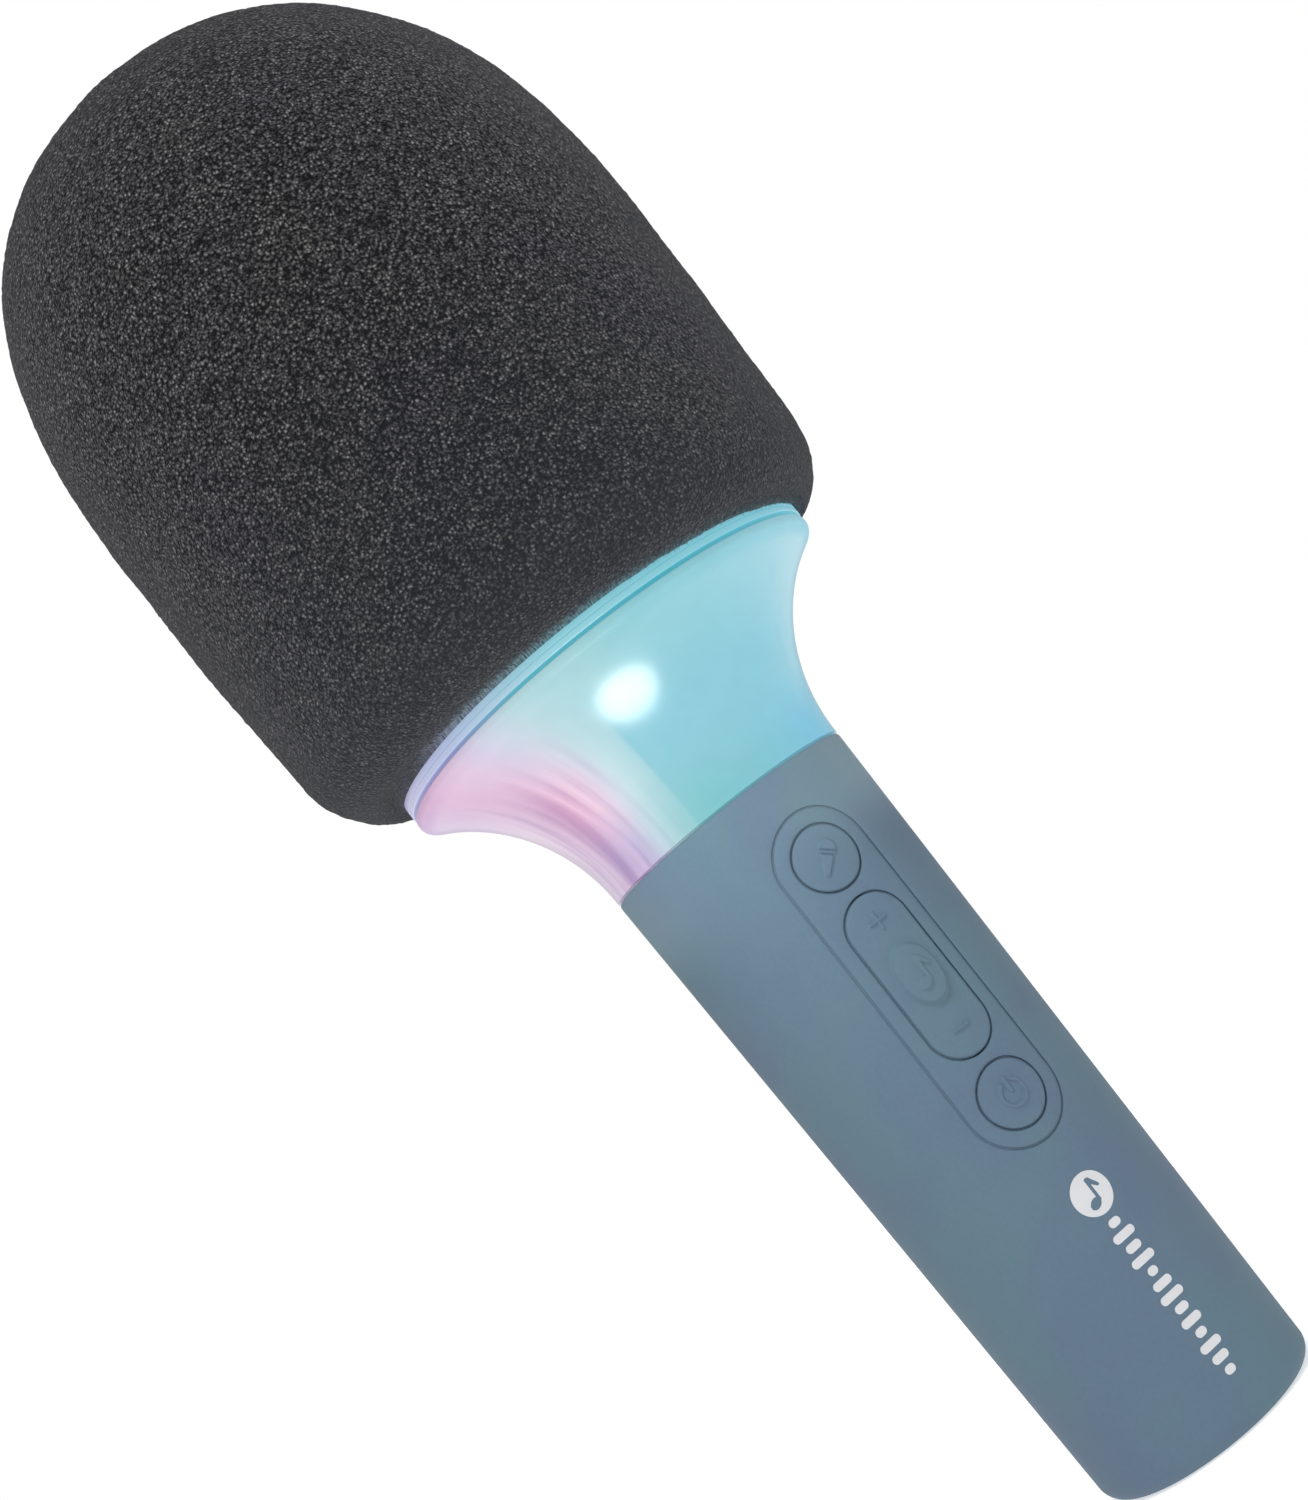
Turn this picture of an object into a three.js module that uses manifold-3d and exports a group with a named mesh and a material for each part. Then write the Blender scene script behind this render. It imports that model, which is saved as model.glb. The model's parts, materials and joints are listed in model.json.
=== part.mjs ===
// Children's karaoke microphone: foam head, light-up flared neck, tapered soft-touch handle.
// Millimetres, +Z up. The origin is the centre of the base that the handle stands on.
// The keys face -Y. Each sub-part is one closed solid in its own named mesh.
import * as THREE from "three";
import { mergeVertices } from "three/addons/utils/BufferGeometryUtils.js";
import Module from "manifold-3d";

const wasm = await Module();
wasm.setup();

// ---- Driving dimensions ----
const TOTAL_HEIGHT = 240;
const GAP = 0.3; // clearance between neighbouring solids

// Handle: a straight cone with a rounded foot.
const HANDLE_TOP_Z = 102.4;
const HANDLE_FOOT_RADIUS = 16.8;
const HANDLE_TOP_RADIUS = 19.3;
const HANDLE_WALL = 2;
const HANDLE_FILLET = 2.8;
const BASE_RADIUS = 12.6;
const BASE_THICKNESS = 2.2;

// Key panel: a stadium let into the front of the handle.
const PANEL_WIDTH = 13.6;
const PANEL_LENGTH = 52.1;
const PANEL_Z = 70;
const PANEL_FLANGE = 1.4;
const KEY_PITCH = 19.1;
const KEY_RADIUS = 4.55;
const KEY_PROUD = 0.2;
const KEY_FLANGE_DEPTH = 5.1; // from the handle's surface to the front of a key's flange
const KEY_FLANGE_THICKNESS = 0.8;
const KEY_FLANGE_MARGIN = 0.9;
const ROCKER_LENGTH = 24.9;
const ROCKER_PIP_OFFSET = 8.4;
const MODE_BUMP = { width: 6.4, length: 9.4, height: 0.7 };
const KEY_TRAVEL = 0.5;

// Circuit board and switches behind the keys.
const BOARD_FRONT_Y = -8.6;
const BOARD_THICKNESS = 1.2;
const BOARD_HALF_WIDTH = 11.5;
const BOARD_Z = [38, 94.6];
const SWITCH = { width: 4.6, height: 1.5, stemRadius: 1.1, stem: 0.7 };
const MAT_Y = [-11.4, -11]; // front and back of the keypad mat
const PIP_RADIUS = 1.5;
const PIVOT_Y = -12.9;
const PIVOT_RADIUS = 1.1;

// Battery and its tray.
const CELL_RADIUS = 9.2;
const CELL_Z = [23, 88];
const CELL_Y = 4.2;
const TRAY_WALL = 1;

// Charging socket in the base.
const SOCKET = { width: 8.94, depth: 3.26, wall: 0.3, y: -6, z: [0.7, 8] };
const BASE_SCREW = { x: 8.6, y: 4.5 };

// Neck: a concave flare, one arc tangent to the handle.
const FLARE_RADIUS = 27.8;
const FLARE_START_Z = 102.7;
const FLARE_END = 118.4; // where the lip starts, in degrees round the flare's circle
const NECK_WALL = 2.2;
const LIP_RADIUS = 34.4;
const LIP_Z = [127.04, 129.1];
const LIP_ROUND = 1;
const RING_Z = [129.45, 132.8];
const RING_STEP_Z = 131.8;
const SPIGOT_Z = 98.4;

// Head: foam over a grille dome, a speaker basket below it.
const FOAM_RADIUS = 44.8;
const FOAM_WIDEST_Z = 182;
const FOAM_POWER = 2.38; // superellipse exponent of the dome
const FOAM_FOOT_RADIUS = 43.4;
const FOAM_CORNER = 12;
const FOAM_FOOT_Z = 130.4;
const FOAM_THICKNESS = 9.2;
const GRILLE_RADIUS = 34.2;
const GRILLE_WALL = 1.6;
const GRILLE_Z = [169.6, 229.3];
const GRILLE_SHOULDER_Z = 192;
const BASKET_RADIUS = 33.6;
const BASKET_WALL = 1.8;
const BASKET_Z = [133.1, 167];
const BAFFLE_Z = [167.3, 169.3];
const WIRE_NOTCH_RADIUS = 29.8; // where the capsule wire passes the baffle

// Speaker, on the baffle and facing up.
const SPEAKER_FLANGE_RADIUS = 27.5;
const SPEAKER_SCREW_RADIUS = 24.9;
const MAGNET_RADIUS = 14;
const COIL_RADIUS = [5.7, 6.1];

// Lamps in the neck.
const LED_COUNT = 6;
const LED_RING_RADIUS = 25;
const LED_BOARD_Z = 127.5;

// How finely round things are cut.
const FINE = 36;
const MEDIUM = 20;
const COARSE = 14;

// ---- Materials ----
const finish = (color, roughness, metalness = 0) =>
  new THREE.MeshStandardMaterial({ color, roughness, metalness });
const foam = finish(0x2b2b2e, 1);
const softTouch = finish(0x647c8f, 0.62);
const softTouchKey = finish(0x667f90, 0.6);
const diffuser = finish(0x9fd8e2, 0.15);
const blackPlastic = finish(0x1d1e20, 0.55);
const whitePlastic = finish(0xe9ecee, 0.4);
const greyRubber = finish(0x54595c, 0.85);
const steel = finish(0xa8acb0, 0.32, 1);
const ferrite = finish(0x35363a, 0.7, 0.2);
const paper = finish(0x202124, 0.9);
const copper = finish(0xb56a3a, 0.35, 1);
const greenBoard = finish(0x1f6b45, 0.45);
const chip = finish(0x17181a, 0.4);
const cellWrap = finish(0x3b7fc4, 0.35);
const redWire = finish(0xb8262a, 0.5);
const blackWire = finish(0x17181a, 0.5);

// ---- Solids ----
const microphone = new THREE.Group();

// Any closed geometry as a manifold-3d solid.
function solid(geometry) {
  const bare = geometry.index ? geometry.toNonIndexed() : geometry.clone();
  for (const name of ["normal", "uv"]) bare.deleteAttribute(name);
  const merged = mergeVertices(bare, 1e-4);
  return new wasm.Manifold(
    new wasm.Mesh({
      numProp: 3,
      vertProperties: merged.attributes.position.array,
      triVerts: new Uint32Array(merged.index.array),
    }),
  );
}

// A solid as a named mesh of the microphone.
function part(name, body, material) {
  const { vertProperties, triVerts } = body.getMesh();
  const geometry = new THREE.BufferGeometry()
    .setAttribute("position", new THREE.BufferAttribute(vertProperties, 3))
    .setIndex(new THREE.BufferAttribute(triVerts, 1));
  geometry.computeVertexNormals();
  const mesh = new THREE.Mesh(geometry, material);
  mesh.name = name;
  microphone.add(mesh);
}

const unite = (first, ...rest) => rest.reduce((sum, next) => sum.add(next), first);
const cut = (first, ...rest) => rest.reduce((sum, next) => sum.subtract(next), first);

// An outline of [radius, z] points turned about +Z. It closes on itself or runs from axis to axis.
function revolve(outline, segments = MEDIUM) {
  const area = outline.reduce((sum, [r, z], i) => {
    const [nextR, nextZ] = outline[(i + 1) % outline.length];
    return sum + r * nextZ - nextR * z;
  }, 0);
  const points = (area > 0 ? outline : outline.slice().reverse()).map(
    ([r, z]) => new THREE.Vector2(r < 1e-6 ? 0 : r, z),
  );
  if (points.every((p) => p.x > 0)) points.push(points[0].clone());
  return solid(new THREE.LatheGeometry(points, segments).rotateX(Math.PI / 2));
}

// A tube or disc about the axis.
const ring = (inner, outer, low, high, segments = MEDIUM) =>
  revolve([[inner, low], [outer, low], [outer, high], [inner, high]], segments);

// Points of an arc about a centre, in degrees, both ends included.
function arc([centreR, centreZ], radius, from, to, steps) {
  return Array.from({ length: steps + 1 }, (_, i) => {
    const angle = THREE.MathUtils.degToRad(from + ((to - from) * i) / steps);
    return [centreR + radius * Math.cos(angle), centreZ + radius * Math.sin(angle)];
  });
}

const box = ([x0, x1], [y0, y1], [z0, z1]) =>
  solid(
    new THREE.BoxGeometry(x1 - x0, y1 - y0, z1 - z0).translate(
      (x0 + x1) / 2,
      (y0 + y1) / 2,
      (z0 + z1) / 2,
    ),
  );

// A cylinder standing along Z at [x, y].
const post = (radius, [x, y], [low, high], segments = COARSE) =>
  solid(
    new THREE.CylinderGeometry(radius, radius, high - low, segments)
      .rotateX(Math.PI / 2)
      .translate(x, y, (low + high) / 2),
  );

// A stadium, or a disc where width equals length, in the front view.
function stadium(width, length, z) {
  const reach = (length - width) / 2;
  const shape = new THREE.Shape();
  shape.absarc(0, z + reach, width / 2, 0, Math.PI, false);
  shape.absarc(0, z - reach, width / 2, Math.PI, 2 * Math.PI, false);
  return shape;
}

// A front-view shape as a prism between two depths, low < high < 0.
function prism(shape, [low, high], curveSegments = 8) {
  const geometry = new THREE.ExtrudeGeometry(shape, {
    depth: high - low,
    bevelEnabled: false,
    curveSegments,
  });
  return solid(geometry.rotateX(Math.PI / 2).translate(0, high, 0));
}

const handleRadius = (z) =>
  THREE.MathUtils.lerp(HANDLE_FOOT_RADIUS, HANDLE_TOP_RADIUS, z / HANDLE_TOP_Z);

// The handle's cone, moved outwards by offset, over a range of heights.
const handleCone = (offset, [low, high]) =>
  revolve(
    [
      [0, low],
      [handleRadius(low) + offset, low],
      [handleRadius(high) + offset, high],
      [0, high],
    ],
    FINE,
  );
const handleShell = (outer, inner, span) =>
  cut(handleCone(outer, span), handleCone(inner, [span[0] - 1, span[1] + 1]));

// A pan-head screw along Z, its head's underside at z. direction is 1 for head up, -1 for head down.
function screw(name, [x, y], z, length, direction = 1) {
  const outline = [
    [0, -length],
    [1, -length],
    [1, 0],
    [2.1, 0],
    [2.1, 0.7],
    [1.5, 1.4],
    [0, 1.4],
  ].map(([r, height]) => [r, z + direction * height]);
  const slot = [z + direction * 0.8, z + direction * 2].sort((a, b) => a - b);
  const cross = unite(
    box([-1.1, 1.1], [-0.22, 0.22], slot),
    box([-0.22, 0.22], [-1.1, 1.1], slot),
  );
  part(name, cut(revolve(outline, 8), cross).translate([x, y, 0]), steel);
}

// A wire along a smooth curve through its points.
function wire(name, points, material, radius = 0.65) {
  const path = new THREE.CatmullRomCurve3(points.map((p) => new THREE.Vector3(...p)));
  const section = new THREE.Shape().absarc(0, 0, radius, 0, 2 * Math.PI, false);
  const geometry = new THREE.ExtrudeGeometry(section, {
    steps: Math.round(path.getLength() / (6 * radius)),
    extrudePath: path,
    curveSegments: 3,
  });
  part(name, solid(geometry), material);
}

// ---- Handle ----
function makeHandleSleeve() {
  const foot = [HANDLE_FOOT_RADIUS - HANDLE_FILLET, HANDLE_FILLET];
  const outline = [
    [BASE_RADIUS + GAP, 0],
    ...arc(foot, HANDLE_FILLET, -90, 0, 5),
    [HANDLE_TOP_RADIUS - 0.05, HANDLE_TOP_Z - 0.3],
    [HANDLE_TOP_RADIUS - 0.3, HANDLE_TOP_Z],
    [HANDLE_TOP_RADIUS - HANDLE_WALL, HANDLE_TOP_Z],
    [handleRadius(4) - HANDLE_WALL, 4],
    [BASE_RADIUS + 1.2, BASE_THICKNESS],
    [BASE_RADIUS + GAP, BASE_THICKNESS],
  ];
  const window = stadium(PANEL_WIDTH + 2 * GAP, PANEL_LENGTH + 2 * GAP, PANEL_Z);
  part("handle_sleeve", cut(revolve(outline, FINE), prism(window, [-30, -5])), softTouch);
}

function makeButtonPanel() {
  const span = [PANEL_Z - 32, PANEL_Z + 32];
  const face = handleShell(0, -HANDLE_WALL - GAP - 0.6, span).intersect(
    prism(stadium(PANEL_WIDTH, PANEL_LENGTH, PANEL_Z), [-30, -5]),
  );
  const wide = 2 * PANEL_FLANGE;
  const flange = handleShell(-HANDLE_WALL - GAP, -HANDLE_WALL - GAP - 1, span).intersect(
    prism(stadium(PANEL_WIDTH + wide, PANEL_LENGTH + wide, PANEL_Z), [-30, -5]),
  );
  const round = 2 * (KEY_RADIUS + GAP);
  const openings = [
    stadium(round, round, PANEL_Z + KEY_PITCH),
    stadium(round, ROCKER_LENGTH + 2 * GAP, PANEL_Z),
    stadium(round, round, PANEL_Z - KEY_PITCH),
  ].map((shape) => prism(shape, [-30, -5]));
  part("button_panel", cut(unite(face, flange), ...openings), softTouchKey);
}

// A key's cap and flange, without what is behind it.
function keyCap(length, z) {
  const flangeY = KEY_FLANGE_DEPTH - handleRadius(z);
  const span = [z - length, z + length];
  const margin = 2 * KEY_FLANGE_MARGIN;
  const cap = handleCone(KEY_PROUD, span).intersect(
    prism(stadium(2 * KEY_RADIUS, length, z), [-30, flangeY + 0.2]),
  );
  const flange = prism(stadium(2 * KEY_RADIUS + margin, length + margin, z), [
    flangeY,
    flangeY + KEY_FLANGE_THICKNESS,
  ]);
  return unite(cap, flange);
}

// A pip on the back of a key, or a plunger, along Y.
function pip(z, [front, back], radius = PIP_RADIUS) {
  return prism(stadium(2 * radius, 2 * radius, z), [front, back], 5);
}

const stemFrontY = BOARD_FRONT_Y - SWITCH.height - SWITCH.stem;

function makeRoundKey(name, z) {
  const flangeY = KEY_FLANGE_DEPTH - handleRadius(z);
  const reach = stemFrontY - KEY_TRAVEL - 0.1;
  const body = unite(keyCap(2 * KEY_RADIUS, z), pip(z, [flangeY + 0.4, reach]));
  part(name, body, softTouchKey);
}

// One key for louder, mode and quieter: it rocks on the plunger and sinks with it.
function makeRockerKey() {
  const flangeY = KEY_FLANGE_DEPTH - handleRadius(PANEL_Z);
  const { width, length, height } = MODE_BUMP;
  const span = [PANEL_Z - length, PANEL_Z + length];
  const bump = handleCone(KEY_PROUD + height, span).intersect(
    prism(stadium(width, length, PANEL_Z), [-30, -16]),
  );
  const pips = [-1, 1].map((side) =>
    pip(PANEL_Z + side * ROCKER_PIP_OFFSET, [flangeY + 0.4, -11.75]),
  );
  const channel = solid(
    new THREE.CylinderGeometry(PIVOT_RADIUS + 0.08, PIVOT_RADIUS + 0.08, 5.4, COARSE)
      .rotateZ(Math.PI / 2)
      .translate(0, PIVOT_Y, PANEL_Z),
  );
  const throat = box([-2.7, 2.7], [PIVOT_Y, -11], [PANEL_Z - 2.2, PANEL_Z + 2.2]);
  const body = cut(unite(keyCap(ROCKER_LENGTH, PANEL_Z), bump, ...pips), channel, throat);
  part("volume_mode_key", body, softTouchKey);
}

function makeModePlunger() {
  const pivot = solid(
    new THREE.CylinderGeometry(PIVOT_RADIUS, PIVOT_RADIUS, 4.8, COARSE)
      .rotateZ(Math.PI / 2)
      .translate(0, PIVOT_Y, PANEL_Z),
  );
  const stem = pip(PANEL_Z, [PIVOT_Y + 0.5, stemFrontY - KEY_TRAVEL - 0.1]);
  part("mode_plunger", unite(pivot, stem), greyRubber);
}

const switchHeights = {
  voice_switch: PANEL_Z + KEY_PITCH,
  louder_switch: PANEL_Z + ROCKER_PIP_OFFSET,
  mode_switch: PANEL_Z,
  quieter_switch: PANEL_Z - ROCKER_PIP_OFFSET,
  power_switch: PANEL_Z - KEY_PITCH,
};

function makeKeypadMat() {
  const sheet = prism(stadium(14, 54, PANEL_Z), MAT_Y);
  const holes = Object.values(switchHeights).map((z) => pip(z, [-13, -9], 2.7));
  part("keypad_mat", cut(sheet, ...holes), greyRubber);
}

function makeSwitches() {
  const half = SWITCH.width / 2;
  const can = BOARD_FRONT_Y - SWITCH.height;
  for (const [name, z] of Object.entries(switchHeights)) {
    const body = box([-half, half], [can, BOARD_FRONT_Y - 0.05], [z - half, z + half]);
    part(name, unite(body, pip(z, [stemFrontY, can + 0.3], SWITCH.stemRadius)), chip);
  }
}

// The frame that stiffens the board and carries the keypad mat.
function makeSwitchFrame() {
  const depth = [MAT_Y[1] + 0.1, BOARD_FRONT_Y - 0.1];
  const outer = box([-9.6, 9.6], depth, [BOARD_Z[0] + 2, BOARD_Z[1] - 1]);
  const window = box([-5, 5], [-15, 0], [PANEL_Z - 25, PANEL_Z + 25]);
  part("switch_frame", cut(outer, window), blackPlastic);
}

function makeMainBoard() {
  const depth = [BOARD_FRONT_Y, BOARD_FRONT_Y + BOARD_THICKNESS];
  const board = box([-BOARD_HALF_WIDTH, BOARD_HALF_WIDTH], depth, BOARD_Z);
  part("main_board", board, greenBoard);
  const back = depth[1] + 0.05;
  part("wireless_module", box([-6, 6], [back, back + 1], [68, 82]), steel);
  part("amplifier_chip", box([-3, 3], [back, back + 1], [54, 60]), chip);
}

// The tray that holds the cell, with the top plate and the bosses for the base screws.
function makeChassis() {
  const inner = CELL_RADIUS + GAP;
  const outer = inner + TRAY_WALL;
  const at = [0, CELL_Y];
  const tube = cut(
    post(outer, at, [CELL_Z[0] - 2.3, CELL_Z[1] + 2.5], MEDIUM),
    post(inner, at, [CELL_Z[0] - GAP, CELL_Z[1] + 4], MEDIUM),
    box([-20, 20], [-20, CELL_Y - 1], [CELL_Z[0] + 3, CELL_Z[1] + 5]),
  );
  const rails = [-1, 1].map((side) => {
    const x = [side * inner, side * (outer + 1.4)].sort((a, b) => a - b);
    return box(x, [BOARD_FRONT_Y + BOARD_THICKNESS + 0.2, CELL_Y], [CELL_Z[0] + 17, CELL_Z[1]]);
  });
  const bosses = [-1, 1].map((side) =>
    cut(
      post(2.6, [side * BASE_SCREW.x, BASE_SCREW.y], [BASE_THICKNESS + 0.2, CELL_Z[0] - 1]),
      post(1.2, [side * BASE_SCREW.x, BASE_SCREW.y], [BASE_THICKNESS - 1, 14], 12),
    ),
  );
  part("battery_tray", unite(tube, ...rails, ...bosses), blackPlastic);
}

function makeCell() {
  const [low, high] = CELL_Z;
  const outline = [
    [0, low],
    [CELL_RADIUS - 0.4, low],
    [CELL_RADIUS, low + 0.4],
    [CELL_RADIUS, high - 0.6],
    [CELL_RADIUS - 0.6, high],
    [3.2, high],
    [3, high + 1],
    [0, high + 1],
  ];
  part("battery_cell", revolve(outline, MEDIUM).translate([0, CELL_Y, 0]), cellWrap);
}

function socketOutline(width, depth) {
  const reach = (width - depth) / 2;
  const shape = new THREE.Shape();
  shape.absarc(reach, SOCKET.y, depth / 2, -Math.PI / 2, Math.PI / 2, false);
  shape.absarc(-reach, SOCKET.y, depth / 2, Math.PI / 2, (3 * Math.PI) / 2, false);
  return shape;
}

const upright = (shape, [low, high]) =>
  solid(
    new THREE.ExtrudeGeometry(shape, {
      depth: high - low,
      bevelEnabled: false,
      curveSegments: 8,
    }).translate(0, 0, low),
  );

function makeBase() {
  const plate = ring(0, BASE_RADIUS, 0, BASE_THICKNESS, FINE);
  const slot = upright(socketOutline(SOCKET.width + 0.6, SOCKET.depth + 0.6), [-1, 5]);
  const screwHoles = [-1, 1].flatMap((side) => [
    post(1.3, [side * BASE_SCREW.x, BASE_SCREW.y], [-1, 5], 12),
    post(2.4, [side * BASE_SCREW.x, BASE_SCREW.y], [-1, 1.5]),
  ]);
  part("base_plate", cut(plate, slot, ...screwHoles), softTouch);
  for (const [name, side] of [["base_screw_left", -1], ["base_screw_right", 1]]) {
    screw(name, [side * BASE_SCREW.x, BASE_SCREW.y], 1.45, 8, -1);
  }
}

function makeChargingSocket() {
  const { width, depth, wall, y, z } = SOCKET;
  const shell = cut(
    upright(socketOutline(width, depth), z),
    upright(socketOutline(width - 2 * wall, depth - 2 * wall), [z[0] - 1, z[1] - 0.8]),
  );
  const tongue = box([-3.35, 3.35], [y - 0.35, y + 0.35], [z[0] + 0.6, z[1] - 0.5]);
  part("usb_socket", unite(shell, tongue), steel);
  const front = y + depth / 2 + 0.05;
  part("usb_board", box([-6.5, 6.5], [front, front + 1], [BASE_THICKNESS + 0.4, 19]), greenBoard);
}

// ---- Neck ----
const flareCentre = [HANDLE_TOP_RADIUS + FLARE_RADIUS, FLARE_START_Z];

function makeNeck() {
  const lipCorner = [LIP_RADIUS - LIP_ROUND, LIP_Z[0] + LIP_ROUND];
  const outline = [
    [HANDLE_TOP_RADIUS - HANDLE_WALL - 0.4, SPIGOT_Z],
    [HANDLE_TOP_RADIUS - HANDLE_WALL - 0.4, FLARE_START_Z],
    ...arc(flareCentre, FLARE_RADIUS, 180, FLARE_END, 9),
    ...arc(lipCorner, LIP_ROUND, FLARE_END - 180, 0, 3),
    [LIP_RADIUS, LIP_Z[1]],
    [LIP_RADIUS - 4, LIP_Z[1]],
    ...arc(flareCentre, FLARE_RADIUS + NECK_WALL, 126.5, 180, 5),
    [HANDLE_TOP_RADIUS - HANDLE_WALL - NECK_WALL, SPIGOT_Z],
  ];
  part("neck_diffuser", revolve(outline, FINE), diffuser);
  const band = [
    [LIP_RADIUS - 5, RING_Z[0]],
    [LIP_RADIUS, RING_Z[0]],
    [LIP_RADIUS, RING_STEP_Z - 0.5],
    [LIP_RADIUS - 0.5, RING_STEP_Z],
    [LIP_RADIUS - 1.2, RING_STEP_Z],
    [LIP_RADIUS - 1.2, RING_Z[1]],
    [LIP_RADIUS - 5, RING_Z[1]],
  ];
  part("light_ring", revolve(band, FINE), diffuser);
}

const BASKET_SCREW_RADIUS = 14;
const aboutAxis = (radius, count, turn = 0) =>
  Array.from({ length: count }, (_, i) => {
    const angle = turn + (2 * Math.PI * i) / count;
    return [radius * Math.cos(angle), radius * Math.sin(angle)];
  });
const basketScrews = aboutAxis(BASKET_SCREW_RADIUS, 3, Math.PI / 2);
const REFLECTOR_TOP_Z = 126.9;

// White core that carries the head and throws the lamps' light out through the neck.
function makeReflectorCore() {
  const outline = [
    [12.8, 95],
    [14.4, 95],
    [14.4, 106],
    [16, 114],
    [19.2, 121],
    [22, REFLECTOR_TOP_Z - 1],
    [22, REFLECTOR_TOP_Z],
    [11, REFLECTOR_TOP_Z],
    [11, REFLECTOR_TOP_Z - 2.2],
    [19.2, REFLECTOR_TOP_Z - 2.2],
    [17.4, 121],
    [14.4, 114],
    [12.8, 106],
  ];
  const bosses = basketScrews.map((at) => post(2.6, at, [REFLECTOR_TOP_Z - 6, REFLECTOR_TOP_Z - 1]));
  const holes = basketScrews.map((at) => post(1.3, at, [REFLECTOR_TOP_Z - 5.5, 140], 12));
  const body = cut(unite(revolve(outline, MEDIUM), ...bosses), ...holes);
  part("reflector_core", body, whitePlastic);
}

function makeLamps() {
  const hole = BASKET_SPIGOT_RADIUS + GAP;
  part("led_board", ring(hole, 28.2, LED_BOARD_Z, LED_BOARD_Z + 1, FINE), whitePlastic);
  aboutAxis(LED_RING_RADIUS, LED_COUNT).forEach(([x, y], i) => {
    const lamp = box([-1.4, 1.4], [-1.4, 1.4], [LED_BOARD_Z - 1.3, LED_BOARD_Z - 0.05]);
    const lens = box([-1, 1], [-1, 1], [LED_BOARD_Z - 1.5, LED_BOARD_Z - 1]);
    const turn = THREE.MathUtils.radToDeg(Math.atan2(y, x));
    part("led_" + (i + 1), unite(lamp, lens).rotate([0, 0, turn]).translate([x, y, 0]), whitePlastic);
  });
}

// ---- Head ----
const BASKET_SPIGOT_RADIUS = 18.5;

// The foam's outer radius above its widest height, and below it.
function foamRadius(z) {
  if (z >= FOAM_WIDEST_Z) {
    const share = (z - FOAM_WIDEST_Z) / (TOTAL_HEIGHT - FOAM_WIDEST_Z);
    return FOAM_RADIUS * Math.max(0, 1 - share ** FOAM_POWER) ** (1 / FOAM_POWER);
  }
  const cornerTop = FOAM_FOOT_Z + FOAM_CORNER;
  const share = (FOAM_WIDEST_Z - z) / (FOAM_WIDEST_Z - cornerTop);
  return FOAM_RADIUS - (FOAM_RADIUS - FOAM_FOOT_RADIUS) * share ** 1.5;
}

function makeFoam() {
  const cornerTop = FOAM_FOOT_Z + FOAM_CORNER;
  const corner = arc([FOAM_FOOT_RADIUS - FOAM_CORNER, cornerTop], FOAM_CORNER, -74, 0, 4);
  const side = [150, 160, 170].map((z) => [foamRadius(z), z]);
  const domeSteps = 8;
  const dome = Array.from({ length: domeSteps }, (_, i) => {
    const share = Math.sin((i / domeSteps) * (Math.PI / 2));
    const z = FOAM_WIDEST_Z + share * (TOTAL_HEIGHT - FOAM_WIDEST_Z);
    return [foamRadius(z), z];
  });
  const throat = LIP_RADIUS + GAP;
  const cavityTop = TOTAL_HEIGHT - FOAM_THICKNESS;
  const cavity = arc([0, 0], 1, 90, 0, 5).map(([r, h]) => [
    r * (GRILLE_RADIUS + 1),
    GRILLE_SHOULDER_Z + h * (cavityTop - GRILLE_SHOULDER_Z),
  ]);
  const outline = [
    ...cavity,
    [throat, RING_Z[1] + 3],
    [throat, FOAM_FOOT_Z + 0.6],
    ...corner,
    ...side,
    ...dome,
    [0, TOTAL_HEIGHT],
  ];
  part("foam_windscreen", revolve(outline, FINE), foam);
}

const grilleHeight = GRILLE_Z[1] - GRILLE_SHOULDER_Z;

// A slotted dome that backs the foam and carries the capsule at its top.
function makeGrille() {
  const domeArc = (radius, height, from, to) =>
    arc([0, 0], 1, from, to, 6).map(([r, h]) => [r * radius, GRILLE_SHOULDER_Z + h * height]);
  const inside = GRILLE_RADIUS - GRILLE_WALL;
  const outline = [
    [inside - 0.3, GRILLE_Z[0]],
    [GRILLE_RADIUS, GRILLE_Z[0]],
    ...domeArc(GRILLE_RADIUS, grilleHeight, 0, 77.5),
    ...domeArc(inside, grilleHeight - GRILLE_WALL, 76.5, 0),
  ];
  const slots = Array.from({ length: 8 }, (_, i) => {
    const low = box([20, 45], [-5, 5], [174, 190]);
    const high = box([14, 45], [-3.5, 3.5], [195, 218]);
    return unite(low, high).rotate([0, 0, 22.5 + 45 * i]);
  });
  part("grille_dome", cut(revolve(outline, MEDIUM), ...slots), blackPlastic);
}

function makeCapsule() {
  const holder = [
    [2, 212],
    [7, 212],
    [7, 222.8],
    [10, 222.8],
    [10, 224],
    [7, 224],
    [7, 228.4],
    [5.7, 228.4],
    [5.7, 213.5],
    [2, 213.5],
  ];
  part("capsule_holder", revolve(holder, COARSE), blackPlastic);
  const boot = [
    [1.6, 213.8],
    [5.4, 213.8],
    [5.4, 227.8],
    [5, 227.8],
    [5, 218],
    [1.6, 218],
  ];
  part("capsule_boot", revolve(boot, COARSE), greyRubber);
  const capsule = [
    [0, 218.3],
    [4.7, 218.3],
    [4.7, 225],
    [4.2, 225.3],
    [2, 225.3],
    [2, 224.9],
    [0, 224.9],
  ];
  part("mic_capsule", revolve(capsule, COARSE), steel);
}

const speakerScrews = aboutAxis(SPEAKER_SCREW_RADIUS, 4, Math.PI / 4);
const screwHoles = (places, span) => places.map((at) => post(1.3, at, span, 12));

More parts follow.
